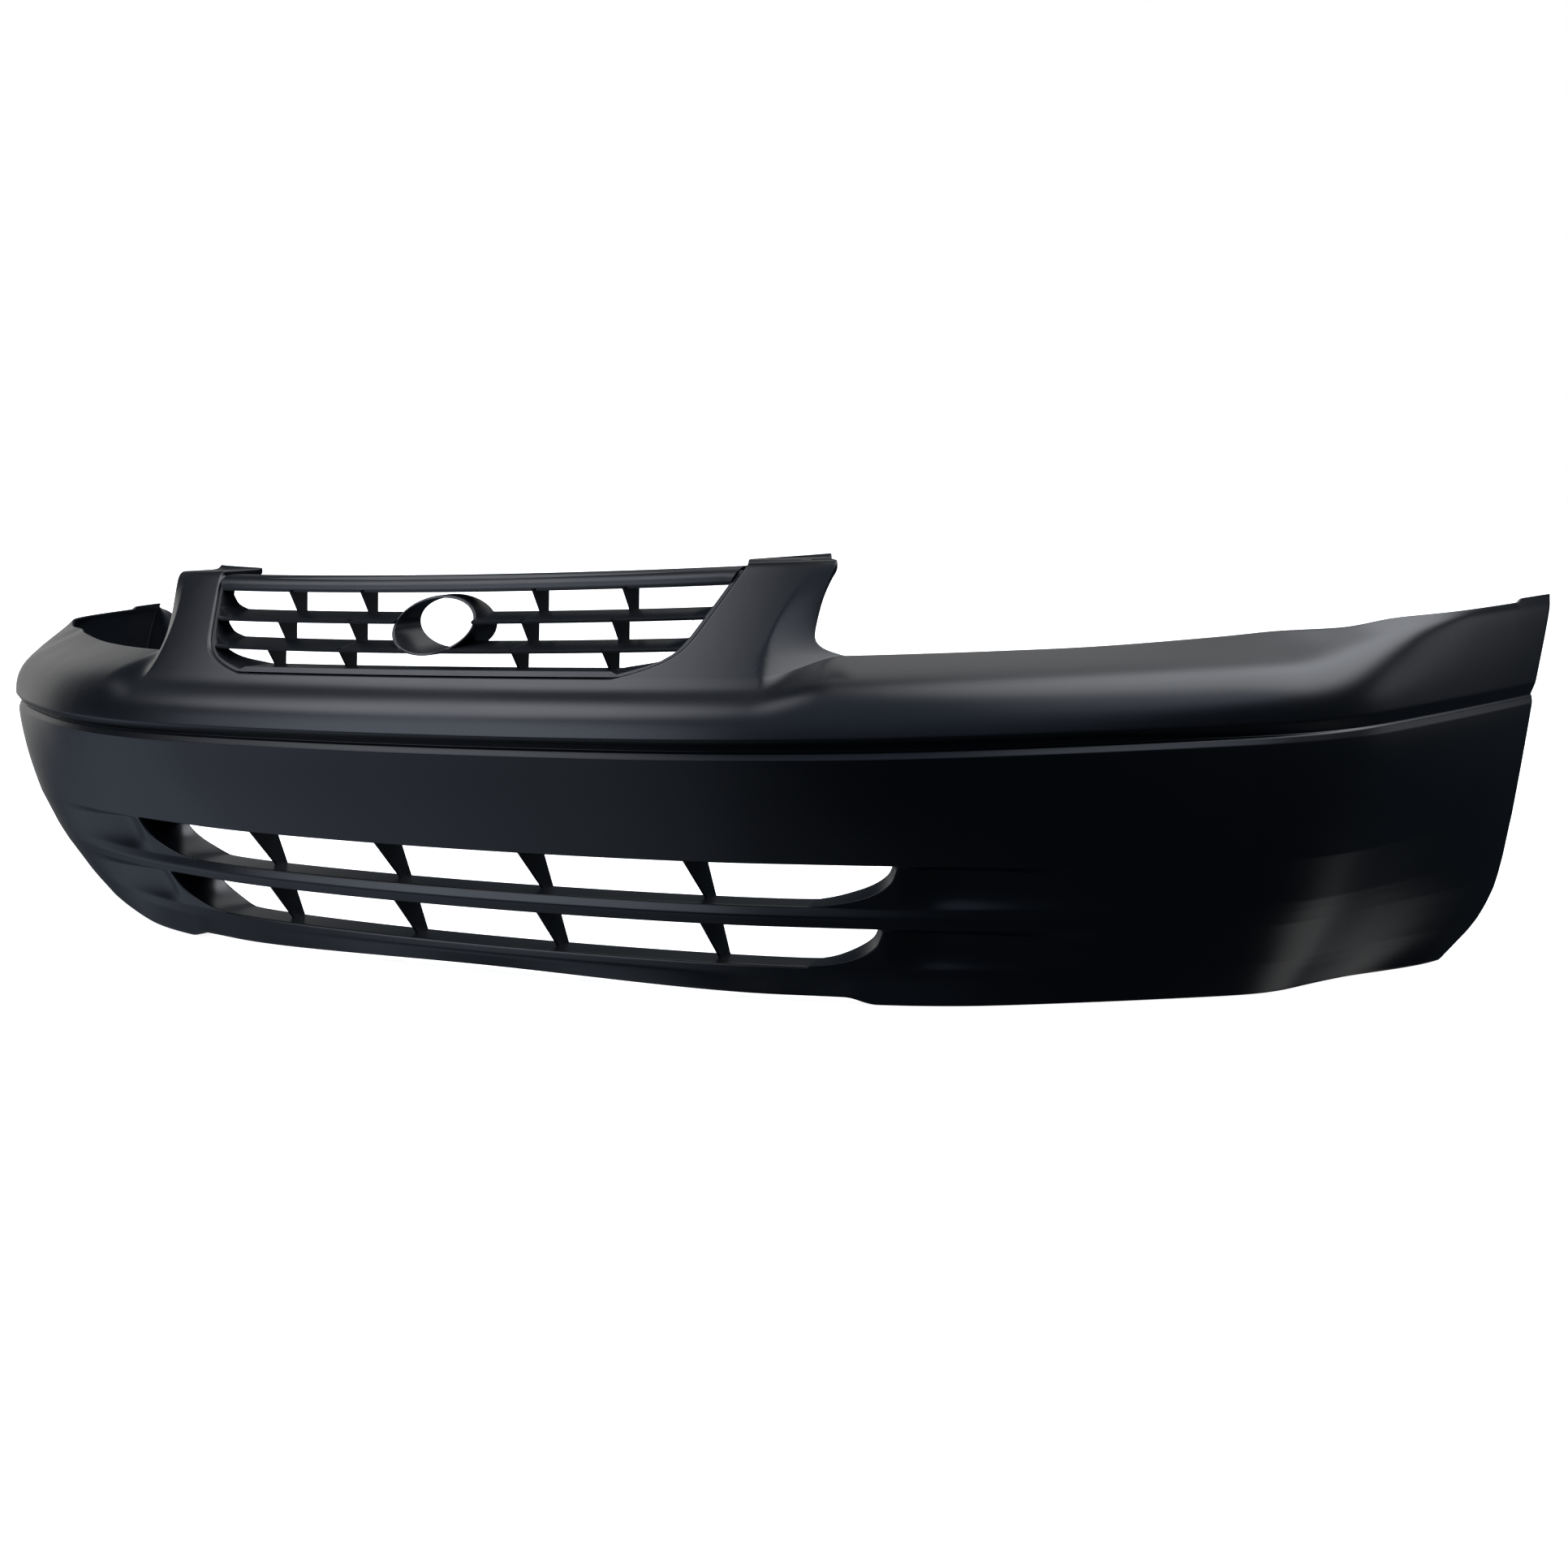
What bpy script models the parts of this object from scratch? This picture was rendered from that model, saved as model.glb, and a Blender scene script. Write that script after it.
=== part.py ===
"""Front bumper cover of a mid-size sedan, with its grille insert, grille screws and clip nuts.

Metres. +X is the left side of the car, -Y is the front, +Z is up. The origin is the middle of
the footprint, on the plane that the bottom edge stands on.

The cover is one moulded sheet. A point of it is named by three numbers: `along`, the distance
from the middle of the car measured round the groove; `depth`, how far it lies inside the groove
line, square to it; and `height`, from the groove's lower lip.
"""

import math

import bmesh
import bpy
import numpy as np
from mathutils import Vector

WALL = 0.003
GROOVE_HEIGHT = 0.2265
HALF_DEPTH = 0.283
GAP = 0.0006
SEAM_GAP = 0.0012

# How the groove line turns as it runs round the front, seen from above.
BOW = math.radians(21.6)
FRONT_TURN = (math.radians(16.5), 0.22, 0.41)
CORNER_TURN = (math.radians(34.2), 0.75, 0.17)
SPINE_STEP = 0.002
SPINE_LENGTH = 1.25

# Front of the car to the side of the car.
SIDE_START = 0.35
SIDE_END = 0.80
SIDE_BULGE = 1.66
ARCH_BULGE = 0.92

# The two intakes: half-lengths where the end curve starts and where it stops.
UPPER_INTAKE = (0.370, 0.474)
LOWER_INTAKE = (0.360, 0.455)
ARC_START = 0.15
WHISKER_END = 0.72
WHISKER_DEPTH = 0.012
WHISKER_RAMP = 0.035
INTAKE_RETURN = 0.041
LIP_END = (0.412, 0.445)
LIP_HEIGHT = -0.2205
LIP_DEPTH = (0.117, 0.096)
LIP_FLANGE = 0.020

# Lines of the body below the groove, as (depth at the front of the car, height).
LIP_CREASE = (0.098, -0.204)
LIP_TOP = (0.099, -0.195)
BAR_BOTTOM = (0.084, -0.157)
BAR_CREASE = (0.074, -0.146)
BAR_TOP = (0.077, -0.137)
FACE_BOTTOM = (0.064, -0.098)
FACE_LINES = ((0.036, -0.056), (0.012, -0.017), (0.003, -0.004))

# Places of some of these lines in the list that runs up from the bottom edge.
LIP_TOP_ROW = 2
BAR_TOP_ROW = 7
FACE_BOTTOM_ROW = 10

# The posts beside the grille.
POST_INNER = 0.205
POST_OUTER = 0.430
POST_TOP = 0.153
POST_FOOT = 0.064
LEDGE_EDGE = 0.078
POST_ROWS = 7
POST_SPOT = (0.030, 0.060)
POST_RAKE = 0.753
POST_HOLLOW = 0.0345
POST_CREASE = 0.3635
GROOVE_DEPTH = 0.007
TAB_HEIGHT = 0.1565
TAB_DEPTH = 0.034
TAB_LIP = (0.0020, 0.0055)
TAB_SHIFT = 0.016
TAB_SLOT = (0.020, 0.009)
TAB_SLOT_SPOT = (0.368, 0.122)

# How far each free edge of the sheet turns back towards the car.
GRILLE_FLANGE = 0.014
ARCH_FLANGE = 0.010
WING_FLANGE = 0.004
HEADLAMP_FLANGE = (0.010, 0.003)

WING_TOP = 0.0905
WING_TAB = (1.058, 0.0030)
RAMP = (0.81, 1.01)
ARCH_REACH = 1.113
WING_STRETCH = 0.95

COLUMNS = (
    [0.0, 0.06, 0.12, 0.17, 0.205, 0.24, 0.27, 0.30, 0.33, 0.349, 0.36, 0.37, 0.385, 0.40, 0.415]
    + [0.43, 0.443, 0.455, 0.466, 0.474, 0.50, 0.55, 0.60, 0.65, 0.69, 0.72, 0.75, 0.78, 0.81, 0.84]
    + [0.87, 0.90, 0.93, 0.95, 0.99, 1.03, 1.058, 1.062, 1.08, 1.10]
)

# Webs across the intakes, as (depth, height) outlines.
INTAKE_RIBS = (-0.257, -0.085, 0.085, 0.257)
RIB_WALL = 0.0028
UPPER_RIB = [(0.066, -0.0965), (0.102, -0.0965), (0.116, -0.1385), (0.101, -0.1385)]
LOWER_RIB = [(0.088, -0.1555), (0.122, -0.1555), (0.135, -0.1965), (0.119, -0.1965)]

# The grille insert: sections are (depth behind the post plane, height).
INSERT_TOP = 0.150
INSERT_DEPTH = 0.030
BAR_INSET = SEAM_GAP + WALL
TOP_BAR = [
    (0.004, 0.1380), (0.006, 0.1355), (0.030, 0.1365), (0.030, 0.1485),
    (0.016, 0.1505), (0.006, 0.1495), (0.002, 0.1460), (0.002, 0.1410),
]
BLADES = (0.1095, 0.0845)
RIB_ROWS = (
    (0.1130, 0.1365, (0.024, 0.009)),
    (0.0880, 0.1105, (0.026, 0.011)),
    (0.0665, 0.0855, (0.026, 0.011)),
)
GRILLE_RIBS = (0.101, 0.196)
GRILLE_RIB_WALL = 0.0026
EMBLEM_HALF = (0.0475, 0.0255)
EMBLEM_HEIGHT = 0.1090
EMBLEM_WALL = 0.0036
EMBLEM_DEPTH = 0.040

# Lugs of the cover and tabs of the insert, as (depth, height) outlines, and what joins them.
SCREW_SPOTS = (-0.165, -0.055, 0.055, 0.165)
SCREW_HEIGHT = 0.0510
SCREW_SIZE = 0.0040
SCREW_HOLE = 0.0052
LUG_WIDTH = 0.016
LUG = [(0.0430, 0.0435), (0.0460, 0.0435), (0.0460, 0.0625), (0.0430, 0.0625)]
INSERT_TAB = [(0.0482, 0.0435), (0.0512, 0.0435), (0.0512, 0.0670), (0.0482, 0.0670)]
CLIP_SPOTS = (-0.30, -0.12, 0.12, 0.30)
CLIP_WALL = 0.0008
CLIP_WIDTH = 0.013
CLIP_REACH = 0.013
CLIP_INSET = 0.0075
CLIP_SLACK = 0.0012
SHARP_ANGLE = math.radians(30)


def smooth(value):
    """0 to 1 with flat ends."""
    value = np.clip(value, 0.0, 1.0)
    return value * value * (3 - 2 * value)


def mix(first, second, share):
    return first + (second - first) * share


def spine():
    """Distance, heading, x and y of the groove line, from the middle to the wheel arch."""
    along = np.arange(0.0, SPINE_LENGTH, SPINE_STEP)
    heading = BOW * along
    for angle, start, length in (FRONT_TURN, CORNER_TURN):
        heading = heading + angle * smooth((along - start) / length)
    steps = (heading[1:] + heading[:-1]) / 2
    x = np.concatenate([[0.0], np.cumsum(np.cos(steps) * SPINE_STEP)])
    y = np.concatenate([[0.0], np.cumsum(np.sin(steps) * SPINE_STEP)])
    return along, heading, x, y


SPINE = spine()


def place(along, depth, height):
    """World points of (along, depth, height), as an array of rows."""
    along, depth, height = np.broadcast_arrays(along, depth, height)
    reach = np.abs(along)
    table, headings, xs, ys = SPINE
    heading = np.interp(reach, table, headings)
    x = np.interp(reach, table, xs) - depth * np.sin(heading)
    y = np.interp(reach, table, ys) + depth * np.cos(heading)
    side = np.where(along < 0, -1.0, 1.0)
    return np.stack([side * x, y - HALF_DEPTH, height + GROOVE_HEIGHT], axis=-1)


def inward(along):
    """The unit vector square to the groove line, towards the car."""
    table, headings, _, _ = SPINE
    heading = np.interp(abs(along), table, headings)
    side = -1.0 if along < 0 else 1.0
    return np.array([-side * math.sin(heading), math.cos(heading), 0.0])


def side_depth(along, height):
    """The side of the car bulges: it curves in towards the bottom."""
    bulge = mix(SIDE_BULGE, ARCH_BULGE, smooth((along - 0.88) / 0.22))
    return bulge * height * height


def body_rail(along, front_depth, height):
    """A line of the body below the groove: sloped at the front, bulged at the side."""
    share = smooth((along - SIDE_START) / (SIDE_END - SIDE_START))
    return mix(front_depth, side_depth(along, height), share), height + 0 * along


def whisker_rails(along, intake, top, bottom):
    """Floor of the wedge-shaped recess beside an intake: (lower line, upper line)."""
    start, end = intake
    reach = np.clip((along - start) / (end - start), 0.0, 1.0)
    arc = np.where(reach < ARC_START, 1.0, np.sqrt(1 - reach * reach))
    fade = 1 - smooth((along - end) / (WHISKER_END - end))
    sunk = WHISKER_DEPTH * smooth((along - end) / WHISKER_RAMP) * fade
    upper_share = mix(0.08 + 0.20 * (1 - fade), 1.0, np.where(along < end, arc, 0.0))
    lines = []
    for share in (mix(upper_share, 1.0, 0.6), upper_share):
        depth = mix(top[0], bottom[0], share) + sunk
        lines.append((depth, mix(top[1], bottom[1], share)))
    return lines


def bottom_rail(along):
    """The bottom edge: a raised lip under the intakes, and a skirt beside it."""
    step = smooth((along - LIP_END[0]) / (LIP_END[1] - LIP_END[0]))
    height = mix(LIP_HEIGHT, -GROOVE_HEIGHT, step)
    share = smooth(along / SIDE_START)
    lip = mix(*LIP_DEPTH, share)
    skirt = side_depth(along, height)
    return mix(lip, skirt, smooth((along - 0.36) / 0.2)), height


def body_rails(along):
    """The lines below the groove, from the bottom edge up to the groove's lower lip."""
    lip_crease, lip_top, bar_bottom, bar_crease, bar_top, face_bottom = (
        body_rail(along, *line)
        for line in (LIP_CREASE, LIP_TOP, BAR_BOTTOM, BAR_CREASE, BAR_TOP, FACE_BOTTOM)
    )
    lower_floor = whisker_rails(along, LOWER_INTAKE, bar_bottom, lip_top)
    upper_floor = whisker_rails(along, UPPER_INTAKE, face_bottom, bar_top)
    face = [body_rail(along, *line) for line in FACE_LINES]
    return (
        [bottom_rail(along), lip_crease, lip_top]
        + lower_floor
        + [bar_bottom, bar_crease, bar_top]
        + upper_floor
        + [face_bottom]
        + face
        + [(0 * along, 0 * along)]
    )


def post_plane(height):
    """Depth of the raked plane of the grille posts."""
    return POST_SPOT[0] + POST_RAKE * (height - POST_SPOT[1])


def post_inner(height):
    """Edge of the post beside the grille, with its rounded foot."""
    rise = np.clip((height - POST_FOOT) / 0.0345, 0.0, 1.0)
    return 0.271 + 0.634 * (height - POST_FOOT) - 0.066 * (1 - rise) ** 2.45


def post_outer(height):
    """Edge of the post beside the headlamp, with its rounded foot."""
    rise = np.clip((height - LEDGE_EDGE) / 0.022, 0.0, 1.0)
    return 0.402 + 3.2 * (height - LEDGE_EDGE) ** 2 + 0.028 * (1 - rise) ** 3


def post_crease(height):
    """The line where the post stops being flat, bowed towards the grille at its middle."""
    return POST_CREASE + 7.5 * (height - 0.080) ** 2


def post_depth(along, height):
    """The post is flat up to its crease, then hollows back to the headlamp edge."""
    share = np.clip((along - post_crease(height)) / 0.064, 0.0, 1.0)
    rise = np.clip((height - LEDGE_EDGE) / 0.078, 0.0, 1.0)
    return post_plane(height) + POST_HOLLOW * (1 - rise**1.6) * share**1.3


def ledge_share(along):
    return smooth((along - 0.36) / 0.07)


def foot_height(along):
    """Height of the line that the posts stand on, which is also the headlamp's lower edge."""
    ledge = mix(LEDGE_EDGE, 0.0845, smooth((along - 0.62) / 0.25))
    ledge = mix(ledge, WING_TOP, smooth((along - 0.90) / 0.05))
    ledge = ledge + WING_TAB[1] * smooth((along - WING_TAB[0]) / 0.004)
    return mix(POST_FOOT, ledge, ledge_share(along))


def shoulder_rails(along):
    """The lines above the groove, up to the grille's lower edge or the headlamp's."""
    share = ledge_share(along)
    ramp = smooth((along - RAMP[0]) / (RAMP[1] - RAMP[0]))
    top_height = foot_height(along)
    outside = along > POST_OUTER
    ledge_depth = mix(0.078, 0.006, ramp)
    top_depth = np.where(outside, ledge_depth, post_depth(along, top_height))
    crease = (mix(0.014, 0.002, ramp), mix(0.058, WING_TOP - 0.010, ramp))
    middle = (mix(0.045, 0.004, ramp), mix(0.069, WING_TOP - 0.004, ramp))
    shallow = smooth((along - 1.0) / 0.1)
    groove = mix(GROOVE_DEPTH, 0.003, shallow)
    return [
        (groove, 0.0045 + 0 * along),
        (groove, 0.0115 + 0 * along),
        (mix(-0.0045, 0.0, shallow), 0.0155 + 0 * along),
        (mix(0.001, 0.0, share), 0.035 + 0.012 * ramp),
        (mix(0.013, crease[0], share), mix(0.047, crease[1], share)),
        (mix(0.025, middle[0], share), mix(0.0545, middle[1], share)),
        (top_depth, top_height),
    ]


def post_height(base, row):
    """Heights of the post's lines, closer together at its rounded foot."""
    return mix(base, POST_TOP, (row / POST_ROWS) ** 1.5)


def post_rails(along):
    """The lines of the posts above the shoulder: (along, depth, height), only within the posts."""
    share = (along - POST_INNER) / (POST_OUTER - POST_INNER)
    base = foot_height(along)
    lines = []
    for row in range(1, POST_ROWS + 1):
        height = post_height(base, row)
        reach = mix(post_inner(height), post_outer(height), share)
        lines.append((reach, post_depth(reach, height), height))
    reach, depth, _ = lines[-1]
    back = reach - TAB_SHIFT
    lines.append((reach, depth + 0.005, 0 * along + TAB_HEIGHT))
    lines.append((back, depth + 0.005 + TAB_DEPTH, 0 * along + TAB_HEIGHT))
    lines.append((back, depth + 0.008 + TAB_DEPTH, TAB_HEIGHT + mix(*TAB_LIP, share)))
    return lines


def arch_end(height):
    """How far the wing reaches, for each height: the edge of the wheel arch."""
    above = np.maximum(0.0, height + 0.11)
    below = np.maximum(0.0, -0.165 - height)
    return ARCH_REACH + 1.55 * above**2 - 0.060 * (below / 0.0615) ** 2


def cover_grid():
    """Rows of (along, depth, height) for the right half, and which cells are open."""
    along = np.array(COLUMNS)
    rows = []
    for depth, height in body_rails(along) + shoulder_rails(along):
        past = np.maximum(0.0, along - WING_STRETCH) / (COLUMNS[-1] - WING_STRETCH)
        reach = along + past * (arch_end(height) - COLUMNS[-1])
        rows.append((reach, depth, height))
    body = len(rows)
    rows += post_rails(along)
    points = np.array([np.stack(row, axis=-1) for row in rows])
    solid = np.ones((len(rows) - 1, len(along) - 1), bool)
    middle = (along[1:] + along[:-1]) / 2
    openings = ((LIP_TOP_ROW, LOWER_INTAKE), (BAR_TOP_ROW, UPPER_INTAKE))
    for first, (start, end) in openings:
        solid[first : first + 2, middle < start + ARC_START * (end - start)] = False
        solid[first + 2, middle < end] = False
    solid[body - 1 :, (middle < POST_INNER) | (middle > POST_OUTER)] = False
    return points, solid, body


def turned_edge(row, along, normal, body):
    """How far, and which way, the sheet's free edge turns back at a point of that row."""
    reach = abs(along)
    side = -1.0 if along < 0 else 1.0
    if row == 0:
        return inward(along) * LIP_FLANGE
    if row <= FACE_BOTTOM_ROW and reach < UPPER_INTAKE[1] + 0.001:
        slant = smooth((reach - 0.34) / 0.10)
        return np.array([-side * 0.6 * slant, 1.0, 0.0]) * INTAKE_RETURN
    if body - 1 <= row < body + POST_ROWS and reach < SIDE_START:
        return inward(along) * GRILLE_FLANGE
    if body - 4 <= row < body and reach > WING_TAB[0] - 0.008:
        return inward(along) * WING_FLANGE
    if row < body - 2:
        return inward(along) * ARCH_FLANGE
    if row >= body + POST_ROWS:
        return normal * 0.0
    return normal * -mix(*HEADLAMP_FLANGE, smooth((reach - 0.86) / 0.08))


def cover_sheet():
    """The outer skin of the cover with its turned-back edges."""
    points, solid, body = cover_grid()
    mesh = bmesh.new()
    used = {}

    def vertex(row, column, side):
        key = (row, column, side if column else 1)
        if key not in used:
            along, depth, height = points[row, column]
            used[key] = mesh.verts.new(place(side * along, depth, height))
        return used[key]

    for row, column in zip(*np.nonzero(solid)):
        for side in (1, -1):
            corners = [(0, 0), (0, 1), (1, 1), (1, 0)][::side]
            mesh.faces.new([vertex(row + r, column + c, side) for r, c in corners])
    mesh.normal_update()
    ends = {}
    for (row, column, side), vert in used.items():
        along = side * points[row, column][0]
        ends[tuple(vert.co)] = turned_edge(row, along, np.array(vert.normal), body)
    edges = [edge for edge in mesh.edges if len(edge.link_faces) == 1]
    grown = bmesh.ops.extrude_edge_only(mesh, edges=edges)["geom"]
    for vert in [item for item in grown if isinstance(item, bmesh.types.BMVert)]:
        vert.co += Vector(ends[tuple(vert.co)])
    bmesh.ops.remove_doubles(mesh, verts=mesh.verts, dist=0.00005)
    bmesh.ops.recalc_face_normals(mesh, faces=mesh.faces)
    return mesh


def material(name, colour, roughness, metallic):
    made = bpy.data.materials.new(name)
    made.use_nodes = True
    shader = made.node_tree.nodes["Principled BSDF"]
    shader.inputs["Base Color"].default_value = (*colour, 1)
    shader.inputs["Roughness"].default_value = roughness
    shader.inputs["Metallic"].default_value = metallic
    return made


def object_from(mesh, name, finish=None):
    data = bpy.data.meshes.new(name)
    mesh.to_mesh(data)
    mesh.free()
    if finish:
        data.materials.append(finish)
    data.shade_smooth()
    data.set_sharp_from_angle(angle=SHARP_ANGLE)
    made = bpy.data.objects.new(name, data)
    bpy.context.collection.objects.link(made)
    return made


def tube(rings, closed=False):
    """A solid through a row of rings of points, capped at both ends or closed on itself."""
    mesh = bmesh.new()
    loops = [[mesh.verts.new(point) for point in ring] for ring in rings]
    pairs = list(zip(loops, loops[1:] + loops[:1])) if closed else list(zip(loops, loops[1:]))
    for first, second in pairs:
        for here in range(len(first)):
            after = (here + 1) % len(first)
            mesh.faces.new([first[here], first[after], second[after], second[here]])
    if not closed:
        mesh.faces.new(loops[0][::-1])
        mesh.faces.new(loops[-1])
    bmesh.ops.recalc_face_normals(mesh, faces=mesh.faces)
    return mesh


def joined(meshes):
    whole = bmesh.new()
    for mesh in meshes:
        data = bpy.data.meshes.new("piece")
        mesh.to_mesh(data)
        mesh.free()
        whole.from_mesh(data)
        bpy.data.meshes.remove(data)
    return whole


def helper(mesh, name):
    made = object_from(mesh, name)
    made.hide_render = True
    made.display_type = "WIRE"
    return made


def combine(target, operand, operation, crossing=False):
    """`crossing` says that the operand's own pieces run through each other."""
    step = target.modifiers.new(operand.name, "BOOLEAN")
    step.operation = operation
    step.object = operand
    step.solver = "EXACT"
    step.use_self = crossing


def frame_at(along, depth, height):
    """Columns are across, towards the car and up; the last is the spot itself."""
    back = inward(along)
    across = np.array([back[1], -back[0], 0.0])
    return across, back, np.array([0, 0, 1.0]), place(along, depth, height)


def local(spot, point):
    across, back, up, origin = spot
    return origin + across * point[0] + back * point[1] + up * point[2]


def revolved(spot, profile, sides=24):
    """A round solid on the spot's inward axis from a (depth, radius) profile."""
    turns = [2 * math.pi * k / sides for k in range(sides)]
    rings = [
        [local(spot, (r * math.cos(a), y, r * math.sin(a))) for a in turns] for y, r in profile
    ]
    return tube(rings)


def rod(spot, start, end, radius, sides=20):
    """A round solid along the inward axis of the spot."""
    return revolved(spot, [(start, radius), (end, radius)], sides)


def prism(spot, outline, low, high):
    """An (across, inward) outline between two heights."""
    return tube([[local(spot, (x, y, z)) for x, y in outline] for z in (low, high)])


def slab(spot, width, profile):
    """An (inward, up) outline, centred across the spot."""
    return tube([[local(spot, (x, y, z)) for y, z in profile] for x in (-width / 2, width / 2)])


def rib(along, outline, thickness=RIB_WALL):
    """An upright web that runs straight back, with a (depth, height) outline."""
    across, back, up = np.eye(3)
    return slab((across, back, up, place(along, 0, 0)), thickness, outline)


def stadium(length, width, sides=8):
    turns = [math.pi * k / sides for k in range(sides + 1)]
    right = [(length / 2 + width / 2 * math.sin(a), -width / 2 * math.cos(a)) for a in turns]
    return right + [(-x, -y) for x, y in right]


def intake_ribs():
    ribs = []
    for along in INTAKE_RIBS:
        ribs.append(rib(along, UPPER_RIB))
        ribs.append(rib(along, LOWER_RIB))
    return ribs


def add_cover(finish):
    cover = object_from(cover_sheet(), "bumper_cover", finish)
    wall = cover.modifiers.new("wall", "SOLIDIFY")
    wall.thickness = WALL
    wall.offset = -1
    wall.use_even_offset = True
    lugs = [slab(frame_at(along, 0, 0), LUG_WIDTH, LUG) for along in SCREW_SPOTS]
    combine(cover, helper(joined(intake_ribs() + lugs), "cover_ribs"), "UNION")
    holes = []
    for side in (-1, 1):
        spot = frame_at(side * TAB_SLOT_SPOT[0], TAB_SLOT_SPOT[1], TAB_HEIGHT)
        holes.append(prism(spot, stadium(*TAB_SLOT), -0.008, 0.004))
    for along in SCREW_SPOTS:
        spot = frame_at(along, 0, SCREW_HEIGHT)
        holes.append(rod(spot, LUG[0][0] - 0.001, LUG[1][0] + 0.001, SCREW_HOLE / 2))
    for along in CLIP_SPOTS:
        holes.append(upright(along, SCREW_HOLE / 2, -0.004, 0.006))
    combine(cover, helper(joined(holes), "cover_holes"), "DIFFERENCE")
    return cover


def lip_spot(along):
    """A spot on the underside of the lip's flange, near its free edge."""
    depth, height = bottom_rail(np.array([abs(along)]))
    return frame_at(along, float(depth[0]) + LIP_FLANGE, float(height[0]))


def upright(along, radius, low, high, sides=20):
    """A vertical round solid through the lip's flange."""
    turns = [2 * math.pi * k / sides for k in range(sides)]
    outline = [(radius * math.cos(a), radius * math.sin(a) - CLIP_INSET) for a in turns]
    return prism(lip_spot(along), outline, low, high)


def bent_up(along):
    """The raked line of the grille rises a little towards its ends."""
    return 0.0025 * (abs(along) / 0.3) ** 2


def bar(section, count=14):
    """A grille bar between the side walls: `section` is (depth behind the posts, height)."""
    rings = []
    for step in range(count + 1):
        share = 2 * step / count - 1
        ring = []
        for depth, height in section:
            along = share * (float(post_inner(height)) - BAR_INSET)
            ring.append(place(along, post_plane(height) + depth, height + bent_up(along)))
        rings.append(ring)
    return tube(rings)


def insert_loop(margin):
    """(along, height) round the insert's edge, `margin` inside the cover's opening."""
    low = POST_FOOT + margin
    heights = [min(post_height(POST_FOOT, row), INSERT_TOP) for row in range(1, POST_ROWS + 1)]
    right = [(float(post_inner(height)) - margin * 1.3, height) for height in heights]
    right.insert(0, (float(post_inner(POST_FOOT)) - margin, low))
    base = [(along, low) for along in (-0.15, -0.1, -0.05, 0.0, 0.05, 0.1, 0.15)]
    top = [(along, INSERT_TOP) for along in (0.26, 0.17, 0.08, 0.0, -0.08, -0.17, -0.26)]
    return base + right + top + [(-along, height) for along, height in right[::-1]]


def insert_wall():
    """The wall round the insert: it nests in the cover's opening."""
    outer = insert_loop(SEAM_GAP)
    inner = insert_loop(SEAM_GAP + WALL)
    inner = [(a * 0.998, min(h, INSERT_TOP - WALL)) for a, h in inner]
    rings = []
    for (along, height), (along_in, height_in) in zip(outer, inner):
        front, front_in = (float(post_plane(h)) + 0.003 for h in (height, height_in))
        rings.append(
            [
                place(along, front, height),
                place(along, front + INSERT_DEPTH, height),
                place(along_in, front_in + INSERT_DEPTH, height_in),
                place(along_in, front_in, height_in),
            ]
        )
    return tube(rings, closed=True)


def grille_rib(along, low, high, wide, narrow):
    """A tapered rib between two bars of the grille."""
    front = post_plane((low + high) / 2) + 0.012
    outline = [(front + 0.012, low), (front + 0.012 + narrow, low)]
    outline += [(front + wide, high + 0.002), (front, high + 0.002)]
    return rib(along, outline, GRILLE_RIB_WALL)


def oval(scale, sides=36):
    turns = [2 * math.pi * k / sides for k in range(sides)]
    width, height = EMBLEM_HALF
    return [
        ((width + scale) * math.cos(a), EMBLEM_HEIGHT + (height + scale) * math.sin(a))
        for a in turns
    ]


def emblem_front(height):
    return post_plane(height) - 0.001


def emblem_ring():
    """The oval bezel in the middle of the grille, open from front to back."""
    rings = []
    for (x_out, z_out), (x_in, z_in) in zip(oval(0.0), oval(-EMBLEM_WALL)):
        front, front_in = emblem_front(z_out), emblem_front(z_in)
        back = emblem_front(EMBLEM_HEIGHT) + EMBLEM_DEPTH
        rings.append(
            [
                place(x_out, front, z_out),
                place(x_out, back, z_out),
                place(x_in, back, z_in),
                place(x_in, front_in, z_in),
            ]
        )
    return tube(rings, closed=True)


def emblem_core():
    """What the bezel keeps clear of bars and ribs."""
    return tube([[place(x, depth, z) for x, z in oval(-EMBLEM_WALL / 2)] for depth in (0.03, 0.16)])


def add_insert(finish):
    insert = object_from(insert_wall(), "grille_insert", finish)
    bars = [bar(section) for section in [TOP_BAR] + [blade(height) for height in BLADES]]
    ribs = [
        grille_rib(side * along, low, high, *size)
        for low, high, size in RIB_ROWS
        for along in GRILLE_RIBS
        for side in (-1, 1)
    ]
    tabs = [slab(frame_at(along, 0, 0), LUG_WIDTH, INSERT_TAB) for along in SCREW_SPOTS]
    combine(insert, helper(joined(bars + ribs + tabs), "insert_bars"), "UNION", crossing=True)
    combine(insert, helper(emblem_core(), "emblem_core"), "DIFFERENCE")
    combine(insert, helper(emblem_ring(), "emblem_ring"), "UNION")
    holes = [
        rod(frame_at(a, 0, SCREW_HEIGHT), INSERT_TAB[0][0] - 0.001, INSERT_TAB[1][0] + 0.001,
            SCREW_HOLE / 2)
        for a in SCREW_SPOTS
    ]
    combine(insert, helper(joined(holes), "tab_holes"), "DIFFERENCE")
    return insert


def blade(height):
    """Section of a thin blade that rises towards the back."""
    return [
        (0.004, height + 0.0005),
        (0.006, height - 0.0015),
        (0.031, height + 0.0040),
        (0.031, height + 0.0075),
        (0.006, height + 0.0020),
    ]


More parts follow.
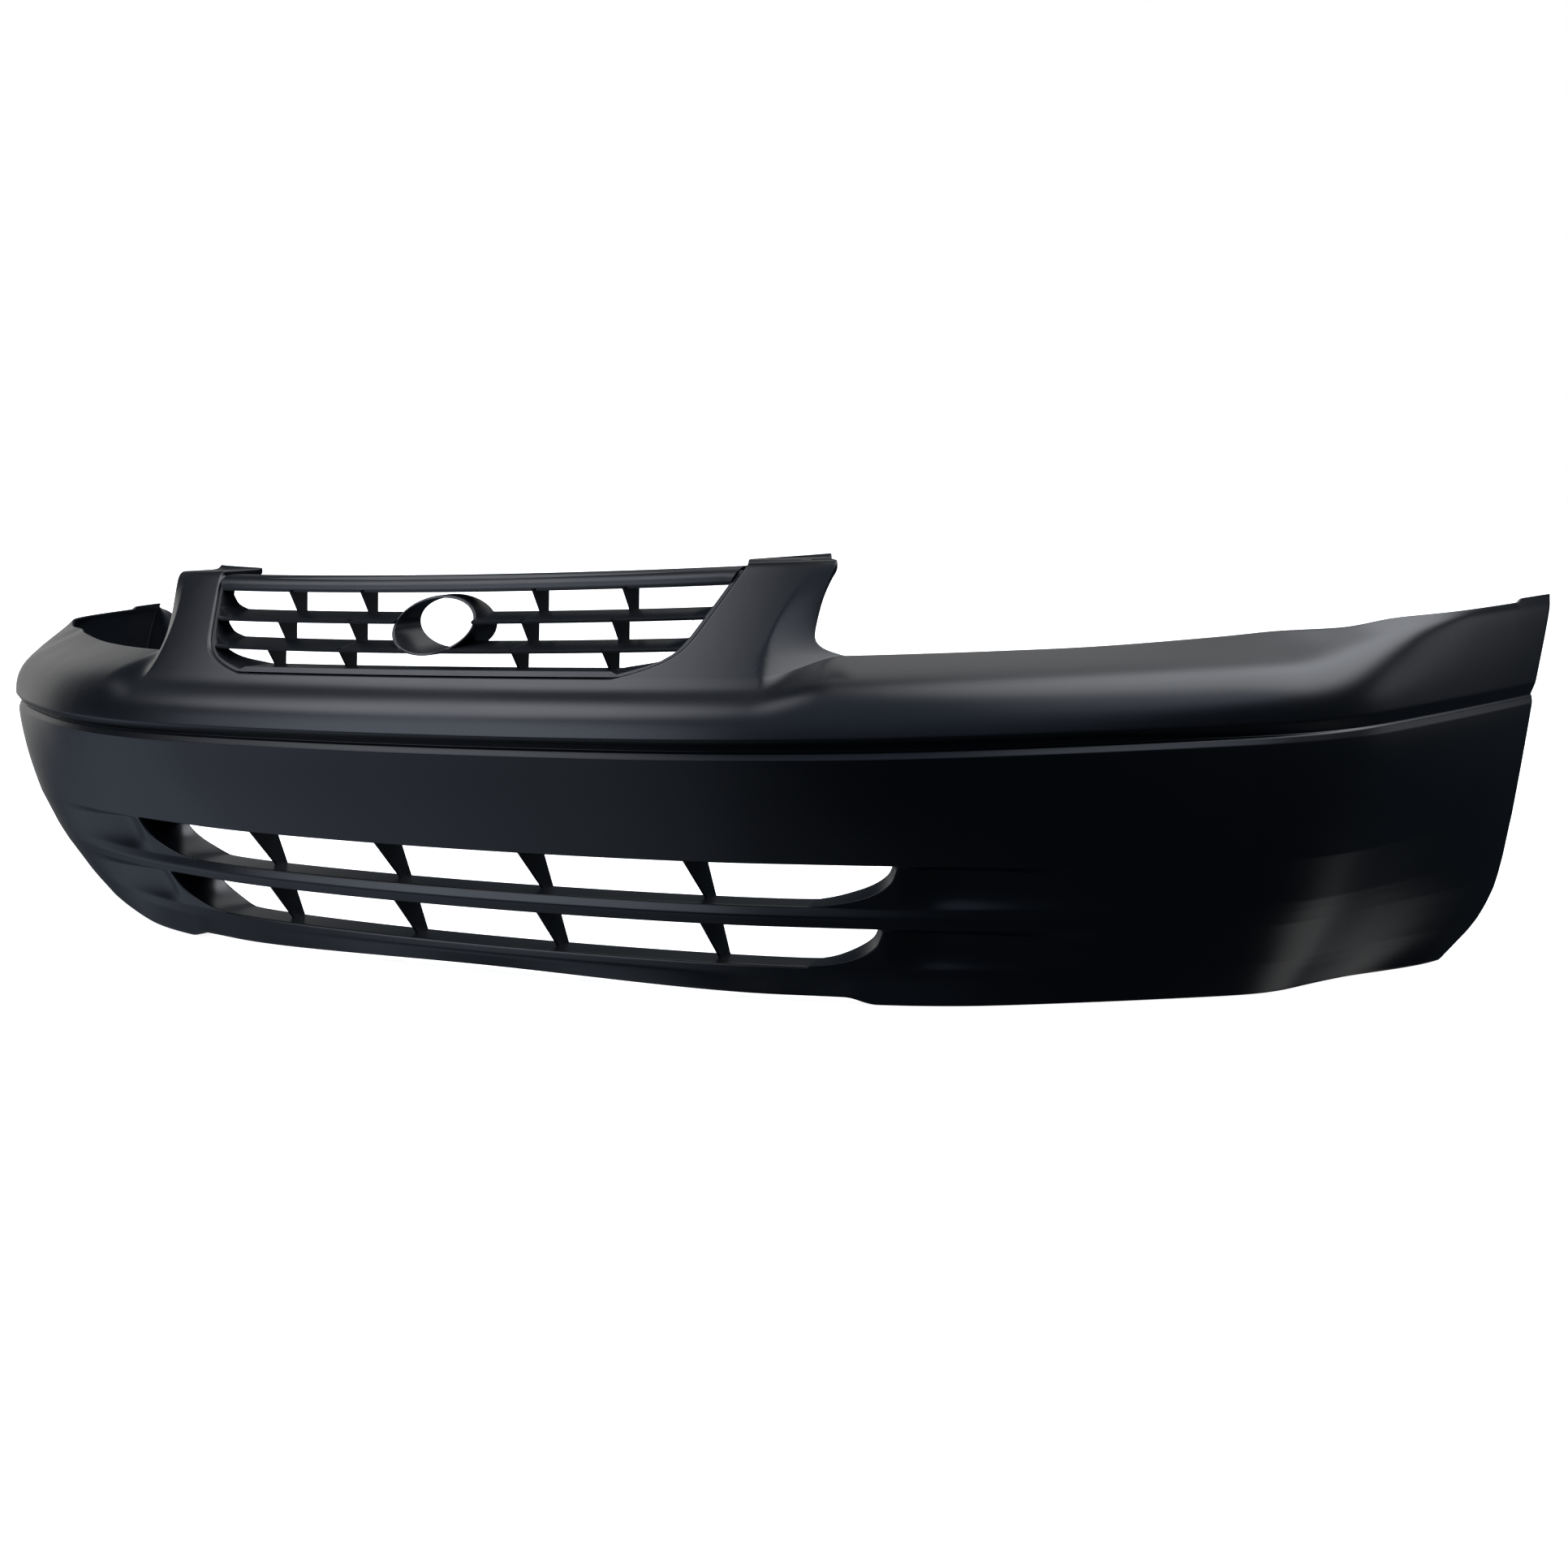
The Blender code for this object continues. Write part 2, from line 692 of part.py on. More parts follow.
def add_screw(name, along, finish):
    """A pan-head screw driven from behind the insert's tab."""
    head = INSERT_TAB[1][0] + GAP
    shank = SCREW_SIZE / 2
    profile = [(head - 0.0135, shank * 0.7), (head - 0.0125, shank), (head, shank)]
    profile += [(head, 0.0046), (head + 0.0012, 0.0046), (head + 0.0026, 0.0030)]
    return object_from(revolved(frame_at(along, 0, SCREW_HEIGHT), profile), name, finish)


def folded(thick, reach, gap):
    """(inward, up) outline of a strip folded over an edge, the fold at the bottom."""
    out = gap / 2 + thick
    return [
        (-out, reach), (-out, -thick), (out, -thick), (out, reach),
        (gap / 2, reach), (gap / 2, 0), (-gap / 2, 0), (-gap / 2, reach),
    ]


def add_lug_clip(name, along, finish):
    """A sheet-metal clip nut pushed up over the cover's lug."""
    middle = (LUG[0][0] + LUG[1][0]) / 2
    gap = LUG[1][0] - LUG[0][0] + GAP
    strip = folded(CLIP_WALL, CLIP_REACH, gap)
    outline = [(middle + y, LUG[0][1] - GAP / 2 + z) for y, z in strip]
    clip = object_from(slab(frame_at(along, 0, 0), CLIP_WIDTH, outline), name, finish)
    spot = frame_at(along, 0, SCREW_HEIGHT)
    hole = rod(spot, LUG[0][0] - 0.004, LUG[1][0] + 0.004, SCREW_SIZE / 2 + 0.0003)
    combine(clip, helper(hole, name + "_hole"), "DIFFERENCE")
    return clip


def add_lip_clip(name, along, finish):
    """A sheet-metal clip nut pushed over the lip's flange, with a round barrel above."""
    thick, gap = CLIP_WALL, WALL + GAP
    spot = lip_spot(along)
    low, high = -GAP / 2, WALL + GAP / 2
    front = -CLIP_REACH
    outline = [
        (front, low - thick), (CLIP_SLACK + thick, low - thick), (CLIP_SLACK + thick, high + thick),
        (front, high + thick), (front, high), (CLIP_SLACK, high), (CLIP_SLACK, low), (front, low),
    ]
    clip = object_from(slab(spot, CLIP_WIDTH, outline), name, finish)
    barrel = upright(along, 0.0042, high + thick / 2, high + 0.006)
    combine(clip, helper(barrel, name + "_barrel"), "UNION")
    hole = upright(along, SCREW_SIZE / 2, low - 0.004, high + 0.010)
    combine(clip, helper(hole, name + "_hole"), "DIFFERENCE")
    return clip


def clear_scene():
    for item in list(bpy.data.objects):
        bpy.data.objects.remove(item, do_unlink=True)


def build():
    clear_scene()
    primed = material("primed_cover", (0.012, 0.015, 0.021), 0.38, 0.0)
    moulded = material("moulded_grille", (0.012, 0.015, 0.020), 0.42, 0.0)
    zinc = material("zinc_screw", (0.55, 0.56, 0.58), 0.35, 1.0)
    phosphate = material("phosphate_clip", (0.07, 0.07, 0.075), 0.5, 1.0)
    add_cover(primed)
    add_insert(moulded)
    for number, along in enumerate(SCREW_SPOTS, 1):
        add_screw(f"grille_screw_{number}", along, zinc)
        add_lug_clip(f"grille_clip_nut_{number}", along, phosphate)
    for number, along in enumerate(CLIP_SPOTS, 1):
        add_lip_clip(f"undercover_clip_nut_{number}", along, phosphate)


build()
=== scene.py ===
"""Looks of the front bumper cover: satin-primed skin, moulded grille insert, plated fasteners.

The cover and the insert are rebuilt at a fine resolution in the space of their CAD nodes. The
screws and the clip nuts keep their CAD shapes and get real finishes.

A point of the skin is named by three numbers: `along`, the distance from the middle of the car
measured round the groove; `depth`, how far it lies inside the groove line; and `height`, from
the groove's lower lip.
"""

import math

import bmesh
import bpy
import numpy as np
from mathutils import Matrix, Vector


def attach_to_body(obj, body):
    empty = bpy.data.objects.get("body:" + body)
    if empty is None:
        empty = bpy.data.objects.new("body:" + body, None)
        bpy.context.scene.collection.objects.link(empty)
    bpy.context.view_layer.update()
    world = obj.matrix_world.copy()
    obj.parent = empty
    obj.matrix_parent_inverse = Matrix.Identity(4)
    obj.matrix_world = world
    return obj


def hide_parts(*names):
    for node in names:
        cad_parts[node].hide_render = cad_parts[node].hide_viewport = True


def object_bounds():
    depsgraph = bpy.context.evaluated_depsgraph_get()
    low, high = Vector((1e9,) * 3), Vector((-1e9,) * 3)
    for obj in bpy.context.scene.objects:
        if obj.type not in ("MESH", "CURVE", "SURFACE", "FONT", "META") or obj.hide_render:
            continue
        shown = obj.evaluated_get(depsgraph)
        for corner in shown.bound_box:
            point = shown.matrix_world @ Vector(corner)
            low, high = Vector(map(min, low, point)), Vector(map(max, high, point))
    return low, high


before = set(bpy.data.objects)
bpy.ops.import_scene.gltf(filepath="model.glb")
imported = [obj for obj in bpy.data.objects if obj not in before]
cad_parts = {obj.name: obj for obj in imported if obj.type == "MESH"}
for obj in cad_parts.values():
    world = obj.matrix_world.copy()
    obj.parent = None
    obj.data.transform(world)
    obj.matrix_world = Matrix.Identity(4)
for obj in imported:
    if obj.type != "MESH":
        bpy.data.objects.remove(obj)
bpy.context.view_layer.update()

WALL = 0.003
GROOVE_HEIGHT = 0.2265
HALF_DEPTH = 0.283
SEAM_GAP = 0.0012

BOW = math.radians(21.6)
FRONT_TURN = (math.radians(16.5), 0.22, 0.41)
CORNER_TURN = (math.radians(34.2), 0.75, 0.17)
SPINE_STEP = 0.002
SPINE_LENGTH = 1.25

# Where a shape changes along the groove line, as (start, length).
SIDE_START = 0.35
SIDE_BLEND = (SIDE_START, 0.45)
ARCH_BLEND = (0.88, 0.22)
SKIRT_BLEND = (0.36, 0.20)
LEDGE_BLEND = (0.36, 0.07)
LEDGE_CLIMB = (0.62, 0.25)
WING_CLIMB = (0.90, 0.05)
WING_RAMP = (0.81, 0.20)
WING_TAB = (1.058, 0.004)
GROOVE_FADE = (0.62, 0.30)
INTAKE_SLANT = (0.34, 0.10)
HEADLAMP_FADE = (0.86, 0.08)

SIDE_BULGE = 1.66
ARCH_BULGE = 0.92

# Intakes: where their rounded ends begin, and where they end. The wedge-shaped recess beside
# one is a whisker. WHISKER_TOP is where its floor's upper line lies between the recess's upper
# and lower edges, beside the intake and at its tip.
UPPER_INTAKE = (0.370, 0.474)
LOWER_INTAKE = (0.360, 0.455)
ARC_START = 0.15
WHISKER_END = 0.72
WHISKER_DEPTH = 0.012
WHISKER_RAMP = 0.050
WHISKER_TOP = (0.08, 0.28)
WHISKER_FOLD = 0.6
INTAKE_RETURN = 0.041
INTAKE_LEAN = 0.6
# The raised lip: where it ends (from, to), and its depth in the middle and at SIDE_START.
LIP_END = (0.412, 0.445)
LIP_HEIGHT = -0.2205
LIP_DEPTH = (0.117, 0.096)
LIP_FLANGE = 0.020

# Lines of the body below the groove, as (depth at the front of the car, height).
LIP_CREASE = (0.098, -0.204)
LIP_TOP = (0.099, -0.195)
BAR_BOTTOM = (0.084, -0.157)
BAR_CREASE = (0.074, -0.146)
BAR_TOP = (0.077, -0.137)
FACE_BOTTOM = (0.064, -0.098)
FACE_LINES = ((0.036, -0.056), (0.012, -0.017), (0.003, -0.004))

# Places of some of these lines in the list that runs up from the bottom edge.
LIP_TOP_ROW = 2
BAR_TOP_ROW = 7
FACE_BOTTOM_ROW = 10
GROOVE_ROW = 14

POST_INNER = 0.221
POST_OUTER = 0.430
POST_TOP = 0.153
POST_FOOT = 0.064
LEDGE_EDGE = 0.078
LEDGE_TOP = 0.0845
POST_ROWS = 14
POST_ROW_GROWTH = 1.5
POST_SPOT = (0.030, 0.060)
POST_RAKE = 0.753
# An edge of a post: (place at its foot, how it leans or curves out, height and width of the
# rounding at its foot).
INNER_EDGE = (0.271, 0.634, 0.0345, 0.050)
OUTER_EDGE = (0.402, 3.2, 0.022, 0.028)
POST_CREASE = 0.3635
CREASE_WAIST = 0.080
CREASE_CURVE = 7.5
POST_HOLLOW = 0.0345
HOLLOW_WIDTH = 0.064
HOLLOW_HEIGHT = 0.078
# Powers that shape the hollow: across the post, and up it.
HOLLOW_CURVE = (1.08, 1.6)

# The groove: its depth at the front and at the wing, the lines of its floor as (share of that
# depth, height), and the shoulder's overhang above it as (depth, height).
GROOVE_DEPTH = (0.007, 0.003)
GROOVE_FLOOR = ((0.45, 0.0052), (0.90, 0.0070))
OVERHANG = (-0.0045, 0.0172)

WING_TOP = 0.0905
WING_TAB_RISE = 0.0030
# Lines of the shoulder as (depth, height): before the grille, under the headlamp, at the wing.
SHOULDER_FACE = ((0.001, 0.035), (0.0, 0.035), (0.0, 0.047))
SHOULDER_CREASE = ((0.013, 0.047), (0.014, 0.058), (0.002, WING_TOP - 0.010))
SHOULDER_MIDDLE = ((0.025, 0.0545), (0.045, 0.069), (0.004, WING_TOP - 0.004))
# Depth of the headlamp's lower edge: at the ledge and at the wing.
LEDGE_DEPTH = (0.078, 0.006)

TAB_HEIGHT = 0.1565
TAB_DEPTH = 0.034
TAB_START = 0.005
TAB_END = 0.008
TAB_LIP = (0.0020, 0.0055)
TAB_SHIFT = 0.016
TAB_SKIRT = 0.007
TAB_PARTS = (0.0, 0.06, 0.36, 0.68, 1.0)
TAB_SLOT = (0.352, 0.382)
TAB_SLOT_ROW = 2

# How far each free edge of the skin turns back towards the car. Two numbers are its two ends.
GRILLE_FLANGE = 0.014
ARCH_FLANGE = (0.010, 0.038)
ARCH_FLANGE_ROWS = (GROOVE_ROW - 1, 3)
HEADLAMP_FLANGE = (0.010, 0.003)

# The wheel arch: how far the wing reaches at its shortest, the heights above and below which
# its edge leaves that line, and how it leaves it.
ARCH_REACH = 1.113
ARCH_COLUMN = 1.10
WING_STRETCH = 0.95
ARCH_FLARE_START = -0.11
ARCH_FLARE = 1.55
ARCH_TUCK_START = -0.165
ARCH_TUCK = (0.0615, 0.060)


def smooth(value):
    """0 to 1 with flat ends."""
    value = np.clip(value, 0.0, 1.0)
    return value * value * (3 - 2 * value)


def eased(value, start, length):
    """0 up to the start, then a smooth rise to 1 over the length."""
    return smooth((value - start) / length)


def mix(first, second, share):
    """From the first value to the second."""
    return first + (second - first) * share


def spine():
    """Distance, heading, x and y of the groove line, from the middle to the wheel arch."""
    along = np.arange(0.0, SPINE_LENGTH, SPINE_STEP)
    heading = BOW * along
    for angle, start, length in (FRONT_TURN, CORNER_TURN):
        heading = heading + angle * smooth((along - start) / length)
    steps = (heading[1:] + heading[:-1]) / 2
    x = np.concatenate([[0.0], np.cumsum(np.cos(steps) * SPINE_STEP)])
    y = np.concatenate([[0.0], np.cumsum(np.sin(steps) * SPINE_STEP)])
    return along, heading, x, y


SPINE = spine()


def place(along, depth, height):
    """World points of (along, depth, height), as an array of rows."""
    along, depth, height = np.broadcast_arrays(along, depth, height)
    reach = np.abs(along)
    table, headings, xs, ys = SPINE
    heading = np.interp(reach, table, headings)
    x = np.interp(reach, table, xs) - depth * np.sin(heading)
    y = np.interp(reach, table, ys) + depth * np.cos(heading)
    side = np.where(along < 0, -1.0, 1.0)
    return np.stack([side * x, y - HALF_DEPTH, height + GROOVE_HEIGHT], axis=-1)


def inward(along):
    """The unit vector square to the groove line, towards the car."""
    table, headings, _, _ = SPINE
    heading = np.interp(abs(along), table, headings)
    side = -1.0 if along < 0 else 1.0
    return np.array([-side * math.sin(heading), math.cos(heading), 0.0])


def side_depth(along, height):
    """The side of the car bulges: it curves in towards the bottom."""
    bulge = mix(SIDE_BULGE, ARCH_BULGE, eased(along, *ARCH_BLEND))
    return bulge * height * height


def body_rail(along, front_depth, height):
    """A line of the body below the groove: sloped at the front, bulged at the side."""
    share = eased(along, *SIDE_BLEND)
    return mix(front_depth, side_depth(along, height), share), height + 0 * along


def whisker_rails(along, intake, top, bottom):
    """Floor of the wedge-shaped recess beside an intake: (lower line, upper line)."""
    start, end = intake
    reach = np.clip((along - start) / (end - start), 0.0, 1.0)
    arc = np.where(reach < ARC_START, 1.0, np.sqrt(1 - reach * reach))
    fade = 1 - eased(along, end, WHISKER_END - end)
    sunk = WHISKER_DEPTH * eased(along, end, WHISKER_RAMP) * fade
    tip = mix(*WHISKER_TOP, 1 - fade)
    upper_share = mix(tip, 1.0, np.where(along < end, arc, 0.0))
    lines = []
    for share in (mix(upper_share, 1.0, WHISKER_FOLD), upper_share):
        depth = mix(top[0], bottom[0], share) + sunk
        lines.append((depth, mix(top[1], bottom[1], share)))
    return lines


def bottom_rail(along):
    """The bottom edge: a raised lip under the intakes, and a skirt beside it."""
    step = eased(along, LIP_END[0], LIP_END[1] - LIP_END[0])
    height = mix(LIP_HEIGHT, -GROOVE_HEIGHT, step)
    lip = mix(*LIP_DEPTH, smooth(along / SIDE_START))
    skirt = side_depth(along, height)
    return mix(lip, skirt, eased(along, *SKIRT_BLEND)), height


def body_rails(along):
    """The lines below the groove, from the bottom edge up to the groove's lower lip."""
    lip_crease, lip_top, bar_bottom, bar_crease, bar_top, face_bottom = (
        body_rail(along, *line)
        for line in (LIP_CREASE, LIP_TOP, BAR_BOTTOM, BAR_CREASE, BAR_TOP, FACE_BOTTOM)
    )
    lower_floor = whisker_rails(along, LOWER_INTAKE, bar_bottom, lip_top)
    upper_floor = whisker_rails(along, UPPER_INTAKE, face_bottom, bar_top)
    face = [body_rail(along, *line) for line in FACE_LINES]
    return (
        [bottom_rail(along), lip_crease, lip_top]
        + lower_floor
        + [bar_bottom, bar_crease, bar_top]
        + upper_floor
        + [face_bottom]
        + face
        + [(0 * along, 0 * along)]
    )


def post_plane(height):
    """Depth of the raked plane of the grille posts."""
    return POST_SPOT[0] + POST_RAKE * (height - POST_SPOT[1])


def post_inner(height):
    """Edge of the post beside the grille: it leans out, with a rounded foot."""
    start, lean, foot_height, foot_width = INNER_EDGE
    rise = np.clip((height - POST_FOOT) / foot_height, 0.0, 1.0)
    return start + lean * (height - POST_FOOT) - foot_width * (1 - rise) ** 3


def post_outer(height):
    """Edge of the post beside the headlamp: it curves out, with a rounded foot."""
    start, curve, foot_height, foot_width = OUTER_EDGE
    rise = np.clip((height - LEDGE_EDGE) / foot_height, 0.0, 1.0)
    return start + curve * (height - LEDGE_EDGE) ** 2 + foot_width * (1 - rise) ** 3


def post_crease(height):
    """The line where the post stops being flat: nearest the grille at its waist, near the foot."""
    return POST_CREASE + CREASE_CURVE * (height - CREASE_WAIST) ** 2


def post_depth(along, height):
    """The post is flat up to its crease, then falls back to its outer edge, most at its foot."""
    across, up = HOLLOW_CURVE
    share = np.clip((along - post_crease(height)) / HOLLOW_WIDTH, 0.0, 1.0)
    rise = np.clip((height - LEDGE_EDGE) / HOLLOW_HEIGHT, 0.0, 1.0)
    return post_plane(height) + POST_HOLLOW * (1 - rise**up) * share**across


def ledge_share(along):
    """0 in front of the grille, 1 along the headlamp's ledge."""
    return eased(along, *LEDGE_BLEND)


def foot_height(along):
    """Height of the line that the posts stand on, which is also the headlamp's lower edge."""
    ledge = mix(LEDGE_EDGE, LEDGE_TOP, eased(along, *LEDGE_CLIMB))
    ledge = mix(ledge, WING_TOP, eased(along, *WING_CLIMB))
    ledge = ledge + WING_TAB_RISE * eased(along, *WING_TAB)
    return mix(POST_FOOT, ledge, ledge_share(along))


def shoulder_line(line, share, ramp):
    """A line of the shoulder, between its three places."""
    return tuple(
        mix(grille, mix(headlamp, wing, ramp), share) for grille, headlamp, wing in zip(*line)
    )


def shoulder_rails(along):
    """The lines above the groove, up to the grille's lower edge or the headlamp's."""
    share = ledge_share(along)
    ramp = eased(along, *WING_RAMP)
    top_height = foot_height(along)
    ledge_depth = mix(*LEDGE_DEPTH, ramp)
    top_depth = np.where(along > POST_OUTER, ledge_depth, post_depth(along, top_height))
    shallow = eased(along, *GROOVE_FADE)
    groove = mix(*GROOVE_DEPTH, shallow)
    return (
        [(groove * part, height + 0 * along) for part, height in GROOVE_FLOOR]
        + [(mix(OVERHANG[0], 0.0, shallow), OVERHANG[1] + 0 * along)]
        + [
            shoulder_line(line, share, ramp)
            for line in (SHOULDER_FACE, SHOULDER_CREASE, SHOULDER_MIDDLE)
        ]
        + [(top_depth, top_height)]
    )


def post_height(base, row):
    """Heights of the post's lines, closer together at its rounded foot."""
    return mix(base, POST_TOP, (row / POST_ROWS) ** POST_ROW_GROWTH)


def post_rails(along):
    """The lines of the posts above the shoulder, and of the tabs on top: (along, depth, height)."""
    share = (along - POST_INNER) / (POST_OUTER - POST_INNER)
    base = foot_height(along)
    lines = []
    for row in range(1, POST_ROWS + 1):
        height = post_height(base, row)
        reach = mix(post_inner(height), post_outer(height), share)
        lines.append((reach, post_depth(reach, height), height))
    reach, depth, _ = lines[-1]
    for part in TAB_PARTS:
        spot = reach - TAB_SHIFT * part
        lines.append((spot, depth + TAB_START + TAB_DEPTH * part, 0 * along + TAB_HEIGHT))
    back = reach - TAB_SHIFT
    lines.append((back, depth + TAB_END + TAB_DEPTH, TAB_HEIGHT + mix(*TAB_LIP, share)))
    return lines


def arch_end(height):
    """How far the wing reaches, for each height: the edge of the wheel arch."""
    above = np.maximum(0.0, height - ARCH_FLARE_START)
    below = np.maximum(0.0, ARCH_TUCK_START - height)
    span, tuck = ARCH_TUCK
    return ARCH_REACH + ARCH_FLARE * above**2 - tuck * (below / span) ** 2


# ---------------------------------------------------------------------------------------------
# The skin. A line of the profile with a corner radius gets a holding line on each side, so that
# the subdivided surface rounds that corner tightly and keeps the rest.

CORNER_RADII = {
    0: 0.0025, 1: 0.0040, 2: 0.0022, 4: 0.0030, 5: 0.0018, 6: 0.0035, 7: 0.0022,
    9: 0.0030, 10: 0.0018, 14: 0.0012, 15: 0.0010, 16: 0.0010, 17: 0.0022, 21: 0.0015,
}
HOLD_SHARE = 0.34
ROUNDING_SEGMENTS = 3
HARD_ANGLE = math.radians(35)
FOLD_STEP = 0.0030
WELD = 0.00004

# Control columns: stretches of the groove line as (end, step), finer where outlines curve or end.
COLUMN_STRETCHES = (
    (0.216, 0.025), (0.224, 0.004), (0.300, 0.012), (0.345, 0.008),
    (0.470, 0.004), (0.478, 0.004), (0.760, 0.018), (0.980, 0.015),
    (1.054, 0.018), (1.066, 0.002), (1.090, 0.012), (1.100, 0.005),
)
COLUMN_SNAP = 0.0028
POST_EDGE_STEP = 0.003


def column_list():
    """Distances of the control columns, with one exactly at each edge of a post or an intake."""
    columns = [0.0]
    for stop, step in COLUMN_STRETCHES:
        start = columns[-1]
        count = max(1, round((stop - start) / step))
        columns += [mix(start, stop, k / count) for k in range(1, count + 1)]
    marks = [POST_INNER, POST_INNER + POST_EDGE_STEP, POST_OUTER - POST_EDGE_STEP, POST_OUTER]
    marks += [LOWER_INTAKE[1], UPPER_INTAKE[1]]
    for mark in marks:
        nearest = int(np.argmin(np.abs(np.array(columns) - mark)))
        if abs(columns[nearest] - mark) < COLUMN_SNAP:
            columns[nearest] = mark
        else:
            columns.append(mark)
            columns.sort()
    return np.array(columns)


def held_rows(rows, body):
    """Adds the holding lines. Returns (key, points) pairs: the line's number, a tenth off it
    for a holding line."""
    keyed = []
    for number, points in enumerate(rows):
        radius = CORNER_RADII.get(number, 0.0)
        near = []
        for other, offset in ((number - 1, -0.1), (number + 1, 0.1)):
            if radius and 0 <= other < len(rows) and max(other, number) < body:
                step = rows[other] - points
                length = np.linalg.norm(step[:, 1:], axis=1, keepdims=True)
                share = np.minimum(radius / np.maximum(length, 1e-6), HOLD_SHARE)
                near.append((number + offset, points + step * share))
        keyed += [near[0]] if near and near[0][0] < number else []
        keyed.append((number, points))
        keyed += [item for item in near if item[0] > number]
    return keyed


def filled_cells(cell, middle, body):
    """Which cells of the grid have skin: all but the intakes, the openings and the tabs' slots."""
    solid = np.ones((len(cell), len(middle)), bool)
    for first, (start, end) in ((LIP_TOP_ROW, LOWER_INTAKE), (BAR_TOP_ROW, UPPER_INTAKE)):
        floor = np.isin(cell, (first, first + 1))
        solid[np.ix_(floor, middle < start + ARC_START * (end - start))] = False
        solid[np.ix_(cell == first + 2, middle < end)] = False
    solid[np.ix_(cell >= body - 1, (middle < POST_INNER) | (middle > POST_OUTER))] = False
    slot = (middle > TAB_SLOT[0]) & (middle < TAB_SLOT[1])
    solid[np.ix_(cell == body + POST_ROWS + TAB_SLOT_ROW, slot)] = False
    return solid


def cover_rows():
    """Rows of (along, depth, height) for one half, keyed, and which of their cells have skin."""
    along = column_list()
    rows = []
    for depth, height in body_rails(along) + shoulder_rails(along):
        past = np.maximum(0.0, along - WING_STRETCH) / (ARCH_COLUMN - WING_STRETCH)
        reach = along + past * (arch_end(height) - ARCH_COLUMN)
        rows.append((reach, depth, height))
    body = len(rows)
    rows += post_rails(along)
    rows = [np.stack(np.broadcast_arrays(*row), axis=-1) for row in rows]
    keyed = held_rows(rows, body)
    keys = np.array([key for key, _ in keyed])
    points = np.array([row for _, row in keyed])
    cell = np.floor((keys[1:] + keys[:-1]) / 2)
    middle = (along[1:] + along[:-1]) / 2
    return keys, points, filled_cells(cell, middle, body), body


def turned_edge(key, along, normal, body):
    """How far, and which way, the skin's free edge turns back at a point of that line."""
    reach = abs(along)
    side = -1.0 if along < 0 else 1.0
    if key == 0:
        return inward(along) * LIP_FLANGE
    if key < FACE_BOTTOM_ROW + 1 and reach <= UPPER_INTAKE[1]:
        slant = INTAKE_LEAN * eased(reach, *INTAKE_SLANT)
        return np.array([-side * slant, 1.0, 0.0]) * INTAKE_RETURN
    if body - 1 <= key < body + POST_ROWS and reach < SIDE_START:
        return inward(along) * GRILLE_FLANGE
    if key < body - 2:
        return inward(along) * mix(*ARCH_FLANGE, eased(key, *ARCH_FLANGE_ROWS))
    if key >= body + POST_ROWS:
        return np.array([0.0, 0.0, -TAB_SKIRT])
    return normal * -mix(*HEADLAMP_FLANGE, eased(reach, *HEADLAMP_FADE))


def skin_faces(mesh, points, solid):
    """Makes the faces of both halves. Returns their corners by (row, column, side)."""
    used = {}

    def vertex(row, column, side):
        name = (row, column, side if column else 1)
        if name not in used:
            along, depth, height = points[row, column]
            used[name] = mesh.verts.new(place(side * along, depth, height))
        return used[name]

    for row, column in zip(*np.nonzero(solid)):
        for side in (1, -1):
            corners = [(0, 0), (0, 1), (1, 1), (1, 0)][::side]
            mesh.faces.new([vertex(row + r, column + c, side) for r, c in corners])
    mesh.normal_update()
    return used


def edge_turns(used, keys, points, body):
    """How each corner would turn back if it were on a free edge, by the corner's place."""
    turns = {}
    for (row, column, side), vert in used.items():
        along = side * points[row, column][0]
        turns[tuple(vert.co)] = turned_edge(keys[row], along, np.array(vert.normal), body)
    return turns


def fold_back(mesh, ends):
    """Extends the free edges in two steps, the first one short, so that the fold stays tight."""
    edges = [tuple(edge.verts) for edge in mesh.edges if len(edge.link_faces) == 1]
    near = {vert: vert for vert in ends}
    for stage in range(2):
        far = {}
        for vert, turn in ends.items():
            share = min(1.0, FOLD_STEP / np.linalg.norm(turn)) if stage == 0 else 1.0
            far[vert] = mesh.verts.new(vert.co + Vector(turn * share))
        for first, second in edges:
            mesh.faces.new([near[second], near[first], far[first], far[second]])
        near = far


def skin_mesh():
    """The outer skin with its free edges turned back, ready to be thickened."""
    keys, points, solid, body = cover_rows()
    mesh = bmesh.new()
    turns = edge_turns(skin_faces(mesh, points, solid), keys, points, body)
    free = [edge for edge in mesh.edges if len(edge.link_faces) == 1]
    fold_back(mesh, {vert: turns[tuple(vert.co)] for edge in free for vert in edge.verts})
    bmesh.ops.remove_doubles(mesh, verts=mesh.verts, dist=WELD)
    bmesh.ops.recalc_face_normals(mesh, faces=mesh.faces)
    return mesh


def object_from(mesh, name, *finishes):
    """An object of this mesh, shaded smooth. It uses the mesh up."""
    data = bpy.data.meshes.new(name)
    mesh.to_mesh(data)
    mesh.free()
    for finish in finishes:
        data.materials.append(finish)
    data.polygons.foreach_set("use_smooth", [True] * len(data.polygons))
    made = bpy.data.objects.new(name, data)
    bpy.context.scene.collection.objects.link(made)
    return made


def tube(rings, closed=False):
    """A solid through a row of rings of points, capped at both ends or closed on itself."""
    mesh = bmesh.new()
    loops = [[mesh.verts.new(point) for point in ring] for ring in rings]
    pairs = list(zip(loops, loops[1:] + loops[:1])) if closed else list(zip(loops, loops[1:]))
    for first, second in pairs:
        for here in range(len(first)):
            after = (here + 1) % len(first)
            mesh.faces.new([first[here], first[after], second[after], second[here]])
    if not closed:
        mesh.faces.new(loops[0][::-1])
        mesh.faces.new(loops[-1])
    bmesh.ops.recalc_face_normals(mesh, faces=mesh.faces)
    return mesh


